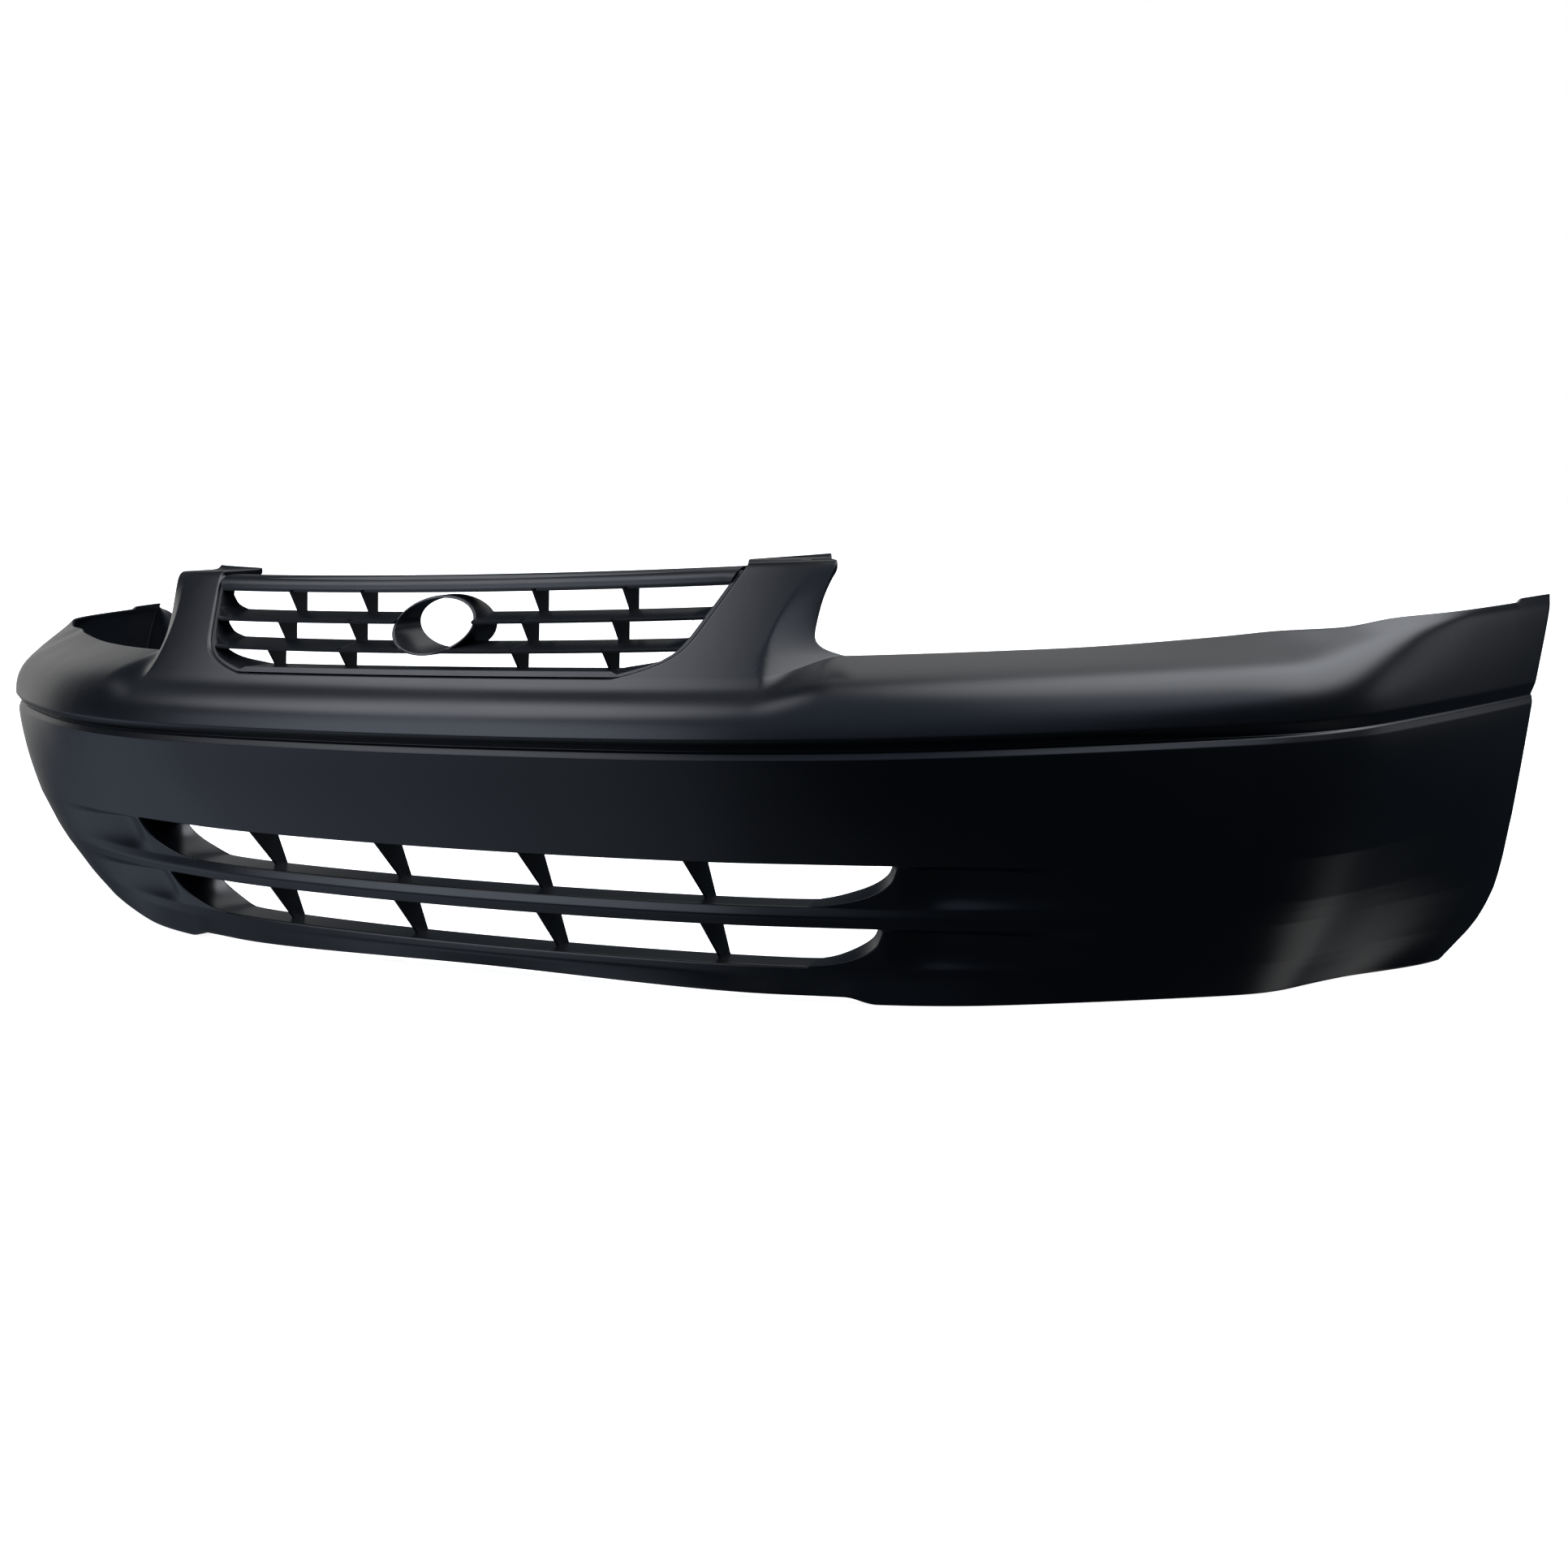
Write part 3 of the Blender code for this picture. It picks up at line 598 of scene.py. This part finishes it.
def joined(meshes):
    """All these meshes in one. It uses them up."""
    whole = bmesh.new()
    for mesh in meshes:
        data = bpy.data.meshes.new("piece")
        mesh.to_mesh(data)
        mesh.free()
        whole.from_mesh(data)
        bpy.data.meshes.remove(data)
    return whole


def frame_at(along, depth, height):
    """Axes across, towards the car and up, and the spot itself."""
    back = inward(along)
    across = np.array([back[1], -back[0], 0.0])
    return across, back, np.array([0, 0, 1.0]), place(along, depth, height)


def local(spot, point):
    """A world point from (across, inward, up) at the spot."""
    across, back, up, origin = spot
    return origin + across * point[0] + back * point[1] + up * point[2]


def slab(spot, width, profile):
    """An (inward, up) outline, centred across the spot."""
    return tube([[local(spot, (x, y, z)) for y, z in profile] for x in (-width / 2, width / 2)])


def straight_spot(along):
    """A spot whose axes are the car's own, on the groove line."""
    across, back, up = np.eye(3)
    return across, back, up, place(along, 0, 0)


def rounded(piece, width):
    """Rounds the hard edges."""
    bevel = piece.modifiers.new("rounding", "BEVEL")
    bevel.width = width
    bevel.segments = ROUNDING_SEGMENTS
    bevel.limit_method = "ANGLE"
    bevel.angle_limit = HARD_ANGLE
    bevel.harden_normals = True


def attach(piece, node):
    """The piece stands for the CAD node and rides on the only body."""
    if node:
        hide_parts(node)
    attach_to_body(piece, "root")


# ---------------------------------------------------------------------------------------------
# Materials

NOISE_ROUGHNESS = 0.6
NOISE_RANGE = (0.3, 0.7)
RELIEF_STRENGTH = 0.6
PRIMER_COLOURS = ((0.0033, 0.0042, 0.0060), (0.0042, 0.0052, 0.0072))
MOULDED_COLOURS = ((0.0040, 0.0050, 0.0070), (0.0050, 0.0061, 0.0083))
ZINC_COLOURS = ((0.50, 0.51, 0.53), (0.60, 0.61, 0.62))
PHOSPHATE_COLOURS = ((0.050, 0.050, 0.054), (0.085, 0.085, 0.090))


def socket_mix(tree, factor, first, second):
    """A colour between the two, by the factor's value."""
    node = tree.nodes.new("ShaderNodeMix")
    node.data_type = "RGBA"
    tree.links.new(factor, node.inputs["Factor"])
    node.inputs["A"].default_value = (*first, 1)
    node.inputs["B"].default_value = (*second, 1)
    return node.outputs["Result"]


def noise(tree, scale, detail):
    """Three-dimensional noise in metres: `scale` is features per metre."""
    place_in = tree.nodes.new("ShaderNodeTexCoord")
    node = tree.nodes.new("ShaderNodeTexNoise")
    node.inputs["Scale"].default_value = scale
    node.inputs["Detail"].default_value = detail
    node.inputs["Roughness"].default_value = NOISE_ROUGHNESS
    tree.links.new(place_in.outputs["Object"], node.inputs["Vector"])
    return node.outputs["Fac"]


def ranged(tree, value, low, high):
    """The noise's middle range, spread smoothly from low to high."""
    node = tree.nodes.new("ShaderNodeMapRange")
    node.interpolation_type = "SMOOTHSTEP"
    tree.links.new(value, node.inputs["Value"])
    node.inputs["From Min"].default_value = NOISE_RANGE[0]
    node.inputs["From Max"].default_value = NOISE_RANGE[1]
    node.inputs["To Min"].default_value = low
    node.inputs["To Max"].default_value = high
    return node.outputs["Result"]


def bumped(tree, height, distance):
    """A normal that follows the height, which is `distance` metres deep."""
    node = tree.nodes.new("ShaderNodeBump")
    node.inputs["Distance"].default_value = distance
    node.inputs["Strength"].default_value = RELIEF_STRENGTH
    tree.links.new(height, node.inputs["Height"])
    return node.outputs["Normal"]


def surface(name, colours, roughness, metallic=0.0, grain=1400.0, cloud=7.0, relief=0.00002):
    """A finish with a broad variation of colour and gloss (`cloud`) and a fine relief (`grain`)."""
    made = bpy.data.materials.new(name)
    made.use_nodes = True
    tree = made.node_tree
    shader = tree.nodes["Principled BSDF"]
    broad = noise(tree, cloud, detail=3.0)
    fine = noise(tree, grain, detail=2.0)
    colour = socket_mix(tree, ranged(tree, broad, 0, 1), *colours)
    tree.links.new(colour, shader.inputs["Base Color"])
    tree.links.new(ranged(tree, broad, *roughness), shader.inputs["Roughness"])
    tree.links.new(bumped(tree, fine, relief), shader.inputs["Normal"])
    shader.inputs["Metallic"].default_value = metallic
    return made


def primer():
    """Satin dark primer: a cool black with a soft sheen and a faint orange-peel relief."""
    return surface(
        "primed_cover", PRIMER_COLOURS, (0.26, 0.29), grain=900.0, cloud=6.0, relief=0.000012
    )


def moulded():
    """Moulded plastic of the grille: a touch lighter and rougher, with a finer grain."""
    return surface(
        "moulded_grille", MOULDED_COLOURS, (0.31, 0.35), grain=2200.0, cloud=12.0, relief=0.000015
    )


def zinc():
    """Zinc plate with small differences of gloss."""
    return surface(
        "zinc_screw", ZINC_COLOURS, (0.28, 0.42), metallic=1.0, grain=3000.0, cloud=400.0
    )


def phosphate():
    """Dark phosphated spring steel, dull and mottled."""
    return surface(
        "phosphate_clip", PHOSPHATE_COLOURS, (0.45, 0.60), metallic=1.0, grain=3500.0, cloud=300.0
    )


# ---------------------------------------------------------------------------------------------
# The cover

# Webs and lugs: their distances along the groove line, and their (depth, height) outlines.
INTAKE_RIBS = (-0.257, -0.085, 0.085, 0.257)
RIB_WALL = 0.0028
RIB_ROUNDING = 0.0006
UPPER_RIB = [(0.066, -0.0965), (0.102, -0.0965), (0.116, -0.1385), (0.101, -0.1385)]
LOWER_RIB = [(0.088, -0.1555), (0.122, -0.1555), (0.135, -0.1965), (0.119, -0.1965)]
SCREW_SPOTS = (-0.165, -0.055, 0.055, 0.165)
LUG_WIDTH = 0.016
LUG = [(0.0430, 0.0435), (0.0460, 0.0435), (0.0460, 0.0625), (0.0430, 0.0625)]


def add_skin(finish):
    """The cover's skin: thickened inwards, then subdivided."""
    skin = object_from(skin_mesh(), "cover_skin", finish)
    wall = skin.modifiers.new("wall", "SOLIDIFY")
    wall.thickness = WALL
    wall.offset = -1
    wall.use_even_offset = False
    smoothing = skin.modifiers.new("smoothing", "SUBSURF")
    smoothing.levels = 2
    smoothing.render_levels = 2
    attach(skin, "bumper_cover")


def add_intake_ribs(finish):
    """The upright webs of the intakes, and the lugs that take the grille screws."""
    ribs = [
        slab(straight_spot(along), RIB_WALL, outline)
        for along in INTAKE_RIBS
        for outline in (UPPER_RIB, LOWER_RIB)
    ]
    lugs = [slab(frame_at(along, 0, 0), LUG_WIDTH, LUG) for along in SCREW_SPOTS]
    piece = object_from(joined(ribs + lugs), "intake_ribs", finish)
    rounded(piece, RIB_ROUNDING)
    attach(piece, None)


# ---------------------------------------------------------------------------------------------
# The grille insert

INSERT_TOP = 0.150
INSERT_DEPTH = 0.030
SIDE_WALL_DEPTH = 0.013
SEAM_FLANGE = (0.015, 0.005)
SEAM_SLOPE = 0.002
WALL_INSET = 0.003
FOOT_BLEND = (0.004, 0.012)
FOOT_LIFT = 0.0015
INNER_SHRINK = 0.998
EDGE_SLANT = 1.3
LOOP_FOOT = (0.20, 27)
LOOP_TOP = (0.30, 31)
# Webs at the ends of the blades. The last two say over which part of its length a web turns in,
# as (start, length), and the power that crowds its rows towards its foot.
CHEEK_RADIUS = 0.016
CHEEK_WALL = 0.0035
CHEEK_RISE = 0.10
CHEEK_INSET = 0.005
CHEEK_LEAN = 0.004
CHEEK_BITE = 0.001
CHEEK_STEPS = 14
CHEEK_TURN = (0.35, 0.65)
CHEEK_SPACING = 0.8
BAR_INSET = SEAM_GAP + WALL
BAR_RISE = 0.0025
BAR_ROUNDING = 0.0009
WALL_ROUNDING = 0.0008
BEZEL_ROUNDING = 0.0012
# Sections are (depth behind the raked plane of the posts, height).
TOP_BAR = [
    (0.004, 0.1380), (0.006, 0.1355), (0.030, 0.1365), (0.030, 0.1485),
    (0.016, 0.1505), (0.006, 0.1495), (0.002, 0.1460), (0.002, 0.1410),
]
BLADES = (0.1095, 0.0845)
BLADE_SECTION = (
    (0.004, 0.0005), (0.006, -0.0015), (0.031, 0.0040), (0.031, 0.0075), (0.006, 0.0020),
)
# Rows of ribs: (lower height, upper height, (depth of the rib at its top, at its foot)).
RIB_ROWS = (
    (0.1130, 0.1365, (0.024, 0.009)),
    (0.0880, 0.1105, (0.026, 0.011)),
    (0.0665, 0.0855, (0.026, 0.011)),
)
GRILLE_RIBS = (0.101, 0.196)
GRILLE_RIB_WALL = 0.0026
RIB_INSET = 0.012
RIB_SETBACK = 0.012
RIB_OVERLAP = 0.002
EMBLEM_HALF = (0.0485, 0.0262)
EMBLEM_HEIGHT = 0.1070
EMBLEM_WALL = 0.0028
EMBLEM_DEPTH = 0.036
EMBLEM_INSET = 0.008
EMBLEM_CORE = (0.03, 0.16)
INSERT_TAB = [(0.0482, 0.0435), (0.0512, 0.0435), (0.0512, 0.0670), (0.0482, 0.0670)]
BAR_STEPS = 48


def bent_up(along):
    """The raked line of the grille rises a little towards its ends."""
    return BAR_RISE * (abs(along) / LOOP_TOP[0]) ** 2


def blade(height):
    """Section of a thin blade that rises towards the back."""
    return [(depth, height + rise) for depth, rise in BLADE_SECTION]


def bar(section):
    """A grille bar from side wall to side wall: `section` is (depth behind the posts, height)."""
    rings = []
    for step in range(BAR_STEPS + 1):
        share = 2 * step / BAR_STEPS - 1
        ring = []
        for depth, height in section:
            along = share * (float(post_inner(height)) - BAR_INSET)
            ring.append(place(along, post_plane(height) + depth, height + bent_up(along)))
        rings.append(ring)
    return tube(rings)


def insert_loop(margin):
    """(along, height) round the insert's edge, `margin` inside the cover's opening. Its leaning
    sides stay further in along the groove line, by EDGE_SLANT."""
    low = POST_FOOT + margin
    heights = [min(post_height(POST_FOOT, row), INSERT_TOP) for row in range(1, POST_ROWS + 1)]
    right = [(float(post_inner(height)) - margin * EDGE_SLANT, height) for height in heights]
    right.insert(0, (float(post_inner(POST_FOOT)) - margin, low))
    reach, count = LOOP_FOOT
    base = [(along, low) for along in np.linspace(-reach, reach, count)]
    reach, count = LOOP_TOP
    top = [(along, INSERT_TOP) for along in np.linspace(reach, -reach, count)]
    return base + right + top + [(-along, height) for along, height in right[::-1]]


def wall_section(outer, inner):
    """Section of the insert's wall at one point of its edge, deeper and flanged at the foot."""
    (along, height), (along_in, height_in) = outer, inner
    foot = float(1 - eased(height, POST_FOOT + FOOT_BLEND[0], FOOT_BLEND[1]))
    along_in = along_in * INNER_SHRINK
    height_in = min(height_in + FOOT_LIFT * foot, INSERT_TOP - WALL)
    front, front_in = (float(post_plane(h)) + WALL_INSET for h in (height, height_in))
    depth = mix(SIDE_WALL_DEPTH, INSERT_DEPTH, foot)
    seam, drop = front + SEAM_FLANGE[0], height - SEAM_FLANGE[1] * foot
    return [
        place(along, front, height),
        place(along, seam, height),
        place(along, seam + SEAM_SLOPE, drop),
        place(along, front + depth + 2 * SEAM_SLOPE, drop),
        place(along_in, front_in + depth + SEAM_SLOPE, height_in),
        place(along_in, front_in, height_in),
    ]


def insert_wall():
    """The wall round the insert, deep along its foot, where a flange behind closes the seam."""
    edges = zip(insert_loop(SEAM_GAP), insert_loop(SEAM_GAP + WALL))
    return tube([wall_section(outer, inner) for outer, inner in edges], closed=True)


def cheek(side, low, high):
    """A curved web between the side wall and a blade, shallow at its top, deep at its foot."""
    rings = []
    for step in range(CHEEK_STEPS + 1):
        share = step / CHEEK_STEPS
        turn = math.pi / 2 * eased(share, *CHEEK_TURN)
        height = mix(high, low, share**CHEEK_SPACING)
        wall = float(post_inner(height)) - BAR_INSET + CHEEK_BITE
        along = wall - CHEEK_RADIUS * (1 - math.cos(turn)) - CHEEK_LEAN * share
        depth = mix(SIDE_WALL_DEPTH, INSERT_DEPTH, share)
        front = float(post_plane(height)) + CHEEK_INSET
        back, rise = front + depth, CHEEK_RISE * depth
        outer = along + CHEEK_WALL
        rings.append(
            [
                place(side * along, front, height),
                place(side * along, back, height + rise),
                place(side * outer, back, height - CHEEK_WALL + rise),
                place(side * outer, front, height - CHEEK_WALL),
            ]
        )
    return tube(rings)


def grille_rib(along, low, high, wide, narrow):
    """A tapered rib between two bars of the grille."""
    front = post_plane((low + high) / 2) + RIB_INSET
    outline = [(front + RIB_SETBACK, low), (front + RIB_SETBACK + narrow, low)]
    outline += [(front + wide, high + RIB_OVERLAP), (front, high + RIB_OVERLAP)]
    return slab(straight_spot(along), GRILLE_RIB_WALL, outline)


def oval(scale, sides=96):
    """(x, height) round the bezel, grown by `scale`."""
    turns = [2 * math.pi * k / sides for k in range(sides)]
    width, height = EMBLEM_HALF
    return [
        ((width + scale) * math.cos(a), EMBLEM_HEIGHT + (height + scale) * math.sin(a))
        for a in turns
    ]


def emblem_front(height):
    """Depth of the bezel's front edge, which follows the rake of the posts."""
    return post_plane(height) + EMBLEM_INSET


def emblem_ring():
    """The oval bezel in the middle of the grille, open from front to back."""
    rings = []
    for (x_out, z_out), (x_in, z_in) in zip(oval(0.0), oval(-EMBLEM_WALL)):
        front, front_in = emblem_front(z_out), emblem_front(z_in)
        back = emblem_front(EMBLEM_HEIGHT) + EMBLEM_DEPTH
        rings.append(
            [
                place(x_out, front, z_out),
                place(x_out, back, z_out),
                place(x_in, back, z_in),
                place(x_in, front_in, z_in),
            ]
        )
    return tube(rings, closed=True)


def cut(piece, cutter):
    """Takes the cutter away from the piece, now, and drops the cutter."""
    step = piece.modifiers.new("cut", "BOOLEAN")
    step.operation = "DIFFERENCE"
    step.object = cutter
    step.solver = "EXACT"
    step.use_self = True
    apply_all(piece)
    bpy.data.objects.remove(cutter, do_unlink=True)


def apply_all(piece):
    """Turns the piece's modifiers into plain mesh."""
    graph = bpy.context.evaluated_depsgraph_get()
    data = bpy.data.meshes.new_from_object(piece.evaluated_get(graph))
    piece.modifiers.clear()
    piece.data = data


def add_bars(finish):
    """Top bar, blades, ribs and end webs, with the bezel's inside cut out of them."""
    bars = [bar(section) for section in [TOP_BAR] + [blade(height) for height in BLADES]]
    ribs = [
        grille_rib(side * along, low, high, *size)
        for low, high, size in RIB_ROWS
        for along in GRILLE_RIBS
        for side in (-1, 1)
    ]
    cheeks = [cheek(side, *row[:2]) for row in RIB_ROWS for side in (-1, 1)]
    piece = object_from(joined(bars + ribs + cheeks), "grille_bars", finish)
    inside = oval(-EMBLEM_WALL / 2)
    core = tube([[place(x, depth, z) for x, z in inside] for depth in EMBLEM_CORE])
    cut(piece, object_from(core, "core"))
    rounded(piece, BAR_ROUNDING)
    attach(piece, "grille_insert")


def add_wall(finish):
    """The wall round the insert, with its screw tabs."""
    tabs = [slab(frame_at(along, 0, 0), LUG_WIDTH, INSERT_TAB) for along in SCREW_SPOTS]
    piece = object_from(joined([insert_wall()] + tabs), "grille_wall", finish)
    rounded(piece, WALL_ROUNDING)
    attach(piece, None)


def add_bezel(finish):
    """The oval bezel."""
    piece = object_from(emblem_ring(), "badge_bezel", finish)
    rounded(piece, BEZEL_ROUNDING)
    attach(piece, None)


# ---------------------------------------------------------------------------------------------
# Studio

# The viewpoint: a long lens, low, in front of the cover and to the car's left.
CAMERA_SPOT = (1.275, -1.723, 0.4645)
CAMERA_AZIMUTH = math.radians(31.0)
CAMERA_PITCH = math.radians(8.48)
CAMERA_ROLL = math.radians(-2.52)
FOCAL_SHARE = 1.36646
SENSOR = 36.0


def add_camera():
    """A long lens at the viewpoint, level but for a small roll."""
    data = bpy.data.cameras.new("camera")
    data.sensor_width = SENSOR
    data.lens = FOCAL_SHARE * SENSOR
    camera = bpy.data.objects.new("camera", data)
    bpy.context.scene.collection.objects.link(camera)
    right = Vector((math.cos(CAMERA_AZIMUTH), math.sin(CAMERA_AZIMUTH), 0))
    level = Vector((-math.sin(CAMERA_AZIMUTH), math.cos(CAMERA_AZIMUTH), 0))
    forward = level * math.cos(CAMERA_PITCH) - Vector((0, 0, math.sin(CAMERA_PITCH)))
    up = level * math.sin(CAMERA_PITCH) + Vector((0, 0, math.cos(CAMERA_PITCH)))
    turned_right = right * math.cos(CAMERA_ROLL) + up * math.sin(CAMERA_ROLL)
    turned_up = up * math.cos(CAMERA_ROLL) - right * math.sin(CAMERA_ROLL)
    matrix = Matrix((turned_right, turned_up, -forward)).transposed().to_4x4()
    matrix.translation = CAMERA_SPOT
    camera.matrix_world = matrix
    bpy.context.scene.camera = camera


# Soft lights: azimuth from +X towards +Y and elevation, in degrees, then the angle from its
# middle at which a light has faded out, its strength and its colour.
SOFT_LIGHTS = (
    ("key_high", 206, 50, 22, 3.05, (0.95, 0.98, 1.07)),
    ("key_middle", 232, 18, 24, 2.10, (0.89, 0.97, 1.15)),
    ("left_wall", 151, 4, 21, 0.58, (1.02, 1.00, 0.97)),
    ("left_floor", 200, -32, 44, 0.27, (0.86, 0.97, 1.20)),
    ("front_high", 285, 48, 38, 0.30, (0.76, 0.97, 1.30)),
    ("right_high", 325, 48, 20, 1.15, (0.86, 0.98, 1.18)),
    ("back_top", 28, 62, 42, 3.90, (0.96, 0.99, 1.05)),
    ("back_left", 110, 43, 26, 0.75, (1.01, 1.00, 0.99)),
    ("back_right", 35, 6, 14, 0.80, (0.95, 0.99, 1.08)),
    ("right_floor", 40, -52, 18, 0.60, (1.00, 1.00, 1.00)),
)
DIM_ROOM = (0.020, 0.027, 0.036)
FULL_SHARE = 0.35


def direction(azimuth, elevation):
    """A unit vector from angles in degrees."""
    azimuth, elevation = math.radians(azimuth), math.radians(elevation)
    flat = math.cos(elevation)
    return flat * math.cos(azimuth), flat * math.sin(azimuth), math.sin(elevation)


def vector_math(tree, operation, first, second):
    """A vector node on a socket and a second socket or value."""
    node = tree.nodes.new("ShaderNodeVectorMath")
    node.operation = operation
    tree.links.new(first, node.inputs[0])
    if isinstance(second, bpy.types.NodeSocket):
        tree.links.new(second, node.inputs[1])
    else:
        node.inputs[1].default_value = second
    return node.outputs


def soft_light(tree, ray, azimuth, elevation, width, strength, colour):
    """One soft light on the sky: full in its middle, with an edge that fades out at `width`."""
    aim = vector_math(tree, "DOT_PRODUCT", ray, direction(azimuth, elevation))["Value"]
    fade = tree.nodes.new("ShaderNodeMapRange")
    fade.interpolation_type = "SMOOTHSTEP"
    tree.links.new(aim, fade.inputs["Value"])
    fade.inputs["From Min"].default_value = math.cos(math.radians(width))
    fade.inputs["From Max"].default_value = math.cos(math.radians(width * FULL_SHARE))
    glow = tree.nodes.new("ShaderNodeVectorMath")
    glow.operation = "SCALE"
    glow.inputs[0].default_value = [strength * part for part in colour]
    tree.links.new(fade.outputs["Result"], glow.inputs["Scale"])
    return glow.outputs["Vector"]


def add_world():
    """Soft lights round a dim room, and a plain white backdrop where nothing stands before it."""
    world = bpy.data.worlds.new("studio")
    world.use_nodes = True
    tree = world.node_tree
    ray = tree.nodes.new("ShaderNodeTexCoord").outputs["Generated"]
    total, *others = [soft_light(tree, ray, *light) for _, *light in SOFT_LIGHTS]
    for glow in others:
        total = vector_math(tree, "MAXIMUM", total, glow)["Vector"]
    lit = vector_math(tree, "ADD", total, DIM_ROOM)["Vector"]
    room = tree.nodes["Background"]
    tree.links.new(lit, room.inputs["Color"])
    backdrop = tree.nodes.new("ShaderNodeBackground")
    backdrop.inputs["Color"].default_value = (1, 1, 1, 1)
    seen = tree.nodes.new("ShaderNodeMixShader")
    path = tree.nodes.new("ShaderNodeLightPath")
    tree.links.new(path.outputs["Is Camera Ray"], seen.inputs["Fac"])
    tree.links.new(room.outputs["Background"], seen.inputs[1])
    tree.links.new(backdrop.outputs["Background"], seen.inputs[2])
    tree.links.new(seen.outputs["Shader"], tree.nodes["World Output"].inputs["Surface"])
    bpy.context.scene.world = world


FLOOR_SIDE = 24.0
FLOOR_DROP = 0.0005
FLOOR_GLOW = 0.90
FLOOR_COLOURS = ((0.90, 0.90, 0.90), (0.92, 0.92, 0.92))


def add_floor():
    """A pale floor that glows a little, so that it stays as light as the backdrop."""
    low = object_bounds()[0][2]
    mesh = bmesh.new()
    half = FLOOR_SIDE / 2
    for x, y in ((-half, -half), (half, -half), (half, half), (-half, half)):
        mesh.verts.new((x, y, low - FLOOR_DROP))
    mesh.faces.new(mesh.verts)
    finish = surface("studio_floor", FLOOR_COLOURS, (0.8, 0.9), cloud=0.7)
    shader = finish.node_tree.nodes["Principled BSDF"]
    shader.inputs["Emission Color"].default_value = (1, 1, 1, 1)
    shader.inputs["Emission Strength"].default_value = FLOOR_GLOW
    floor = object_from(mesh, "studio_floor", finish)
    floor.visible_glossy = False
    floor.visible_diffuse = False


def finish_cad_nodes(zinc_finish, phosphate_finish):
    """Screws and clip nuts keep their CAD shapes and get their finishes."""
    for name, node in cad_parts.items():
        if name.startswith("grille_screw"):
            finish = zinc_finish
        elif "clip_nut" in name:
            finish = phosphate_finish
        else:
            continue
        node.data.materials.clear()
        node.data.materials.append(finish)


def main():
    """Builds the visual model, the floor, the lights and the camera."""
    bpy.context.scene.view_settings.view_transform = "Standard"
    primed = primer()
    grille = moulded()
    add_skin(primed)
    add_intake_ribs(primed)
    add_bars(grille)
    add_wall(grille)
    add_bezel(grille)
    finish_cad_nodes(zinc(), phosphate())
    add_floor()
    add_world()
    add_camera()


main()
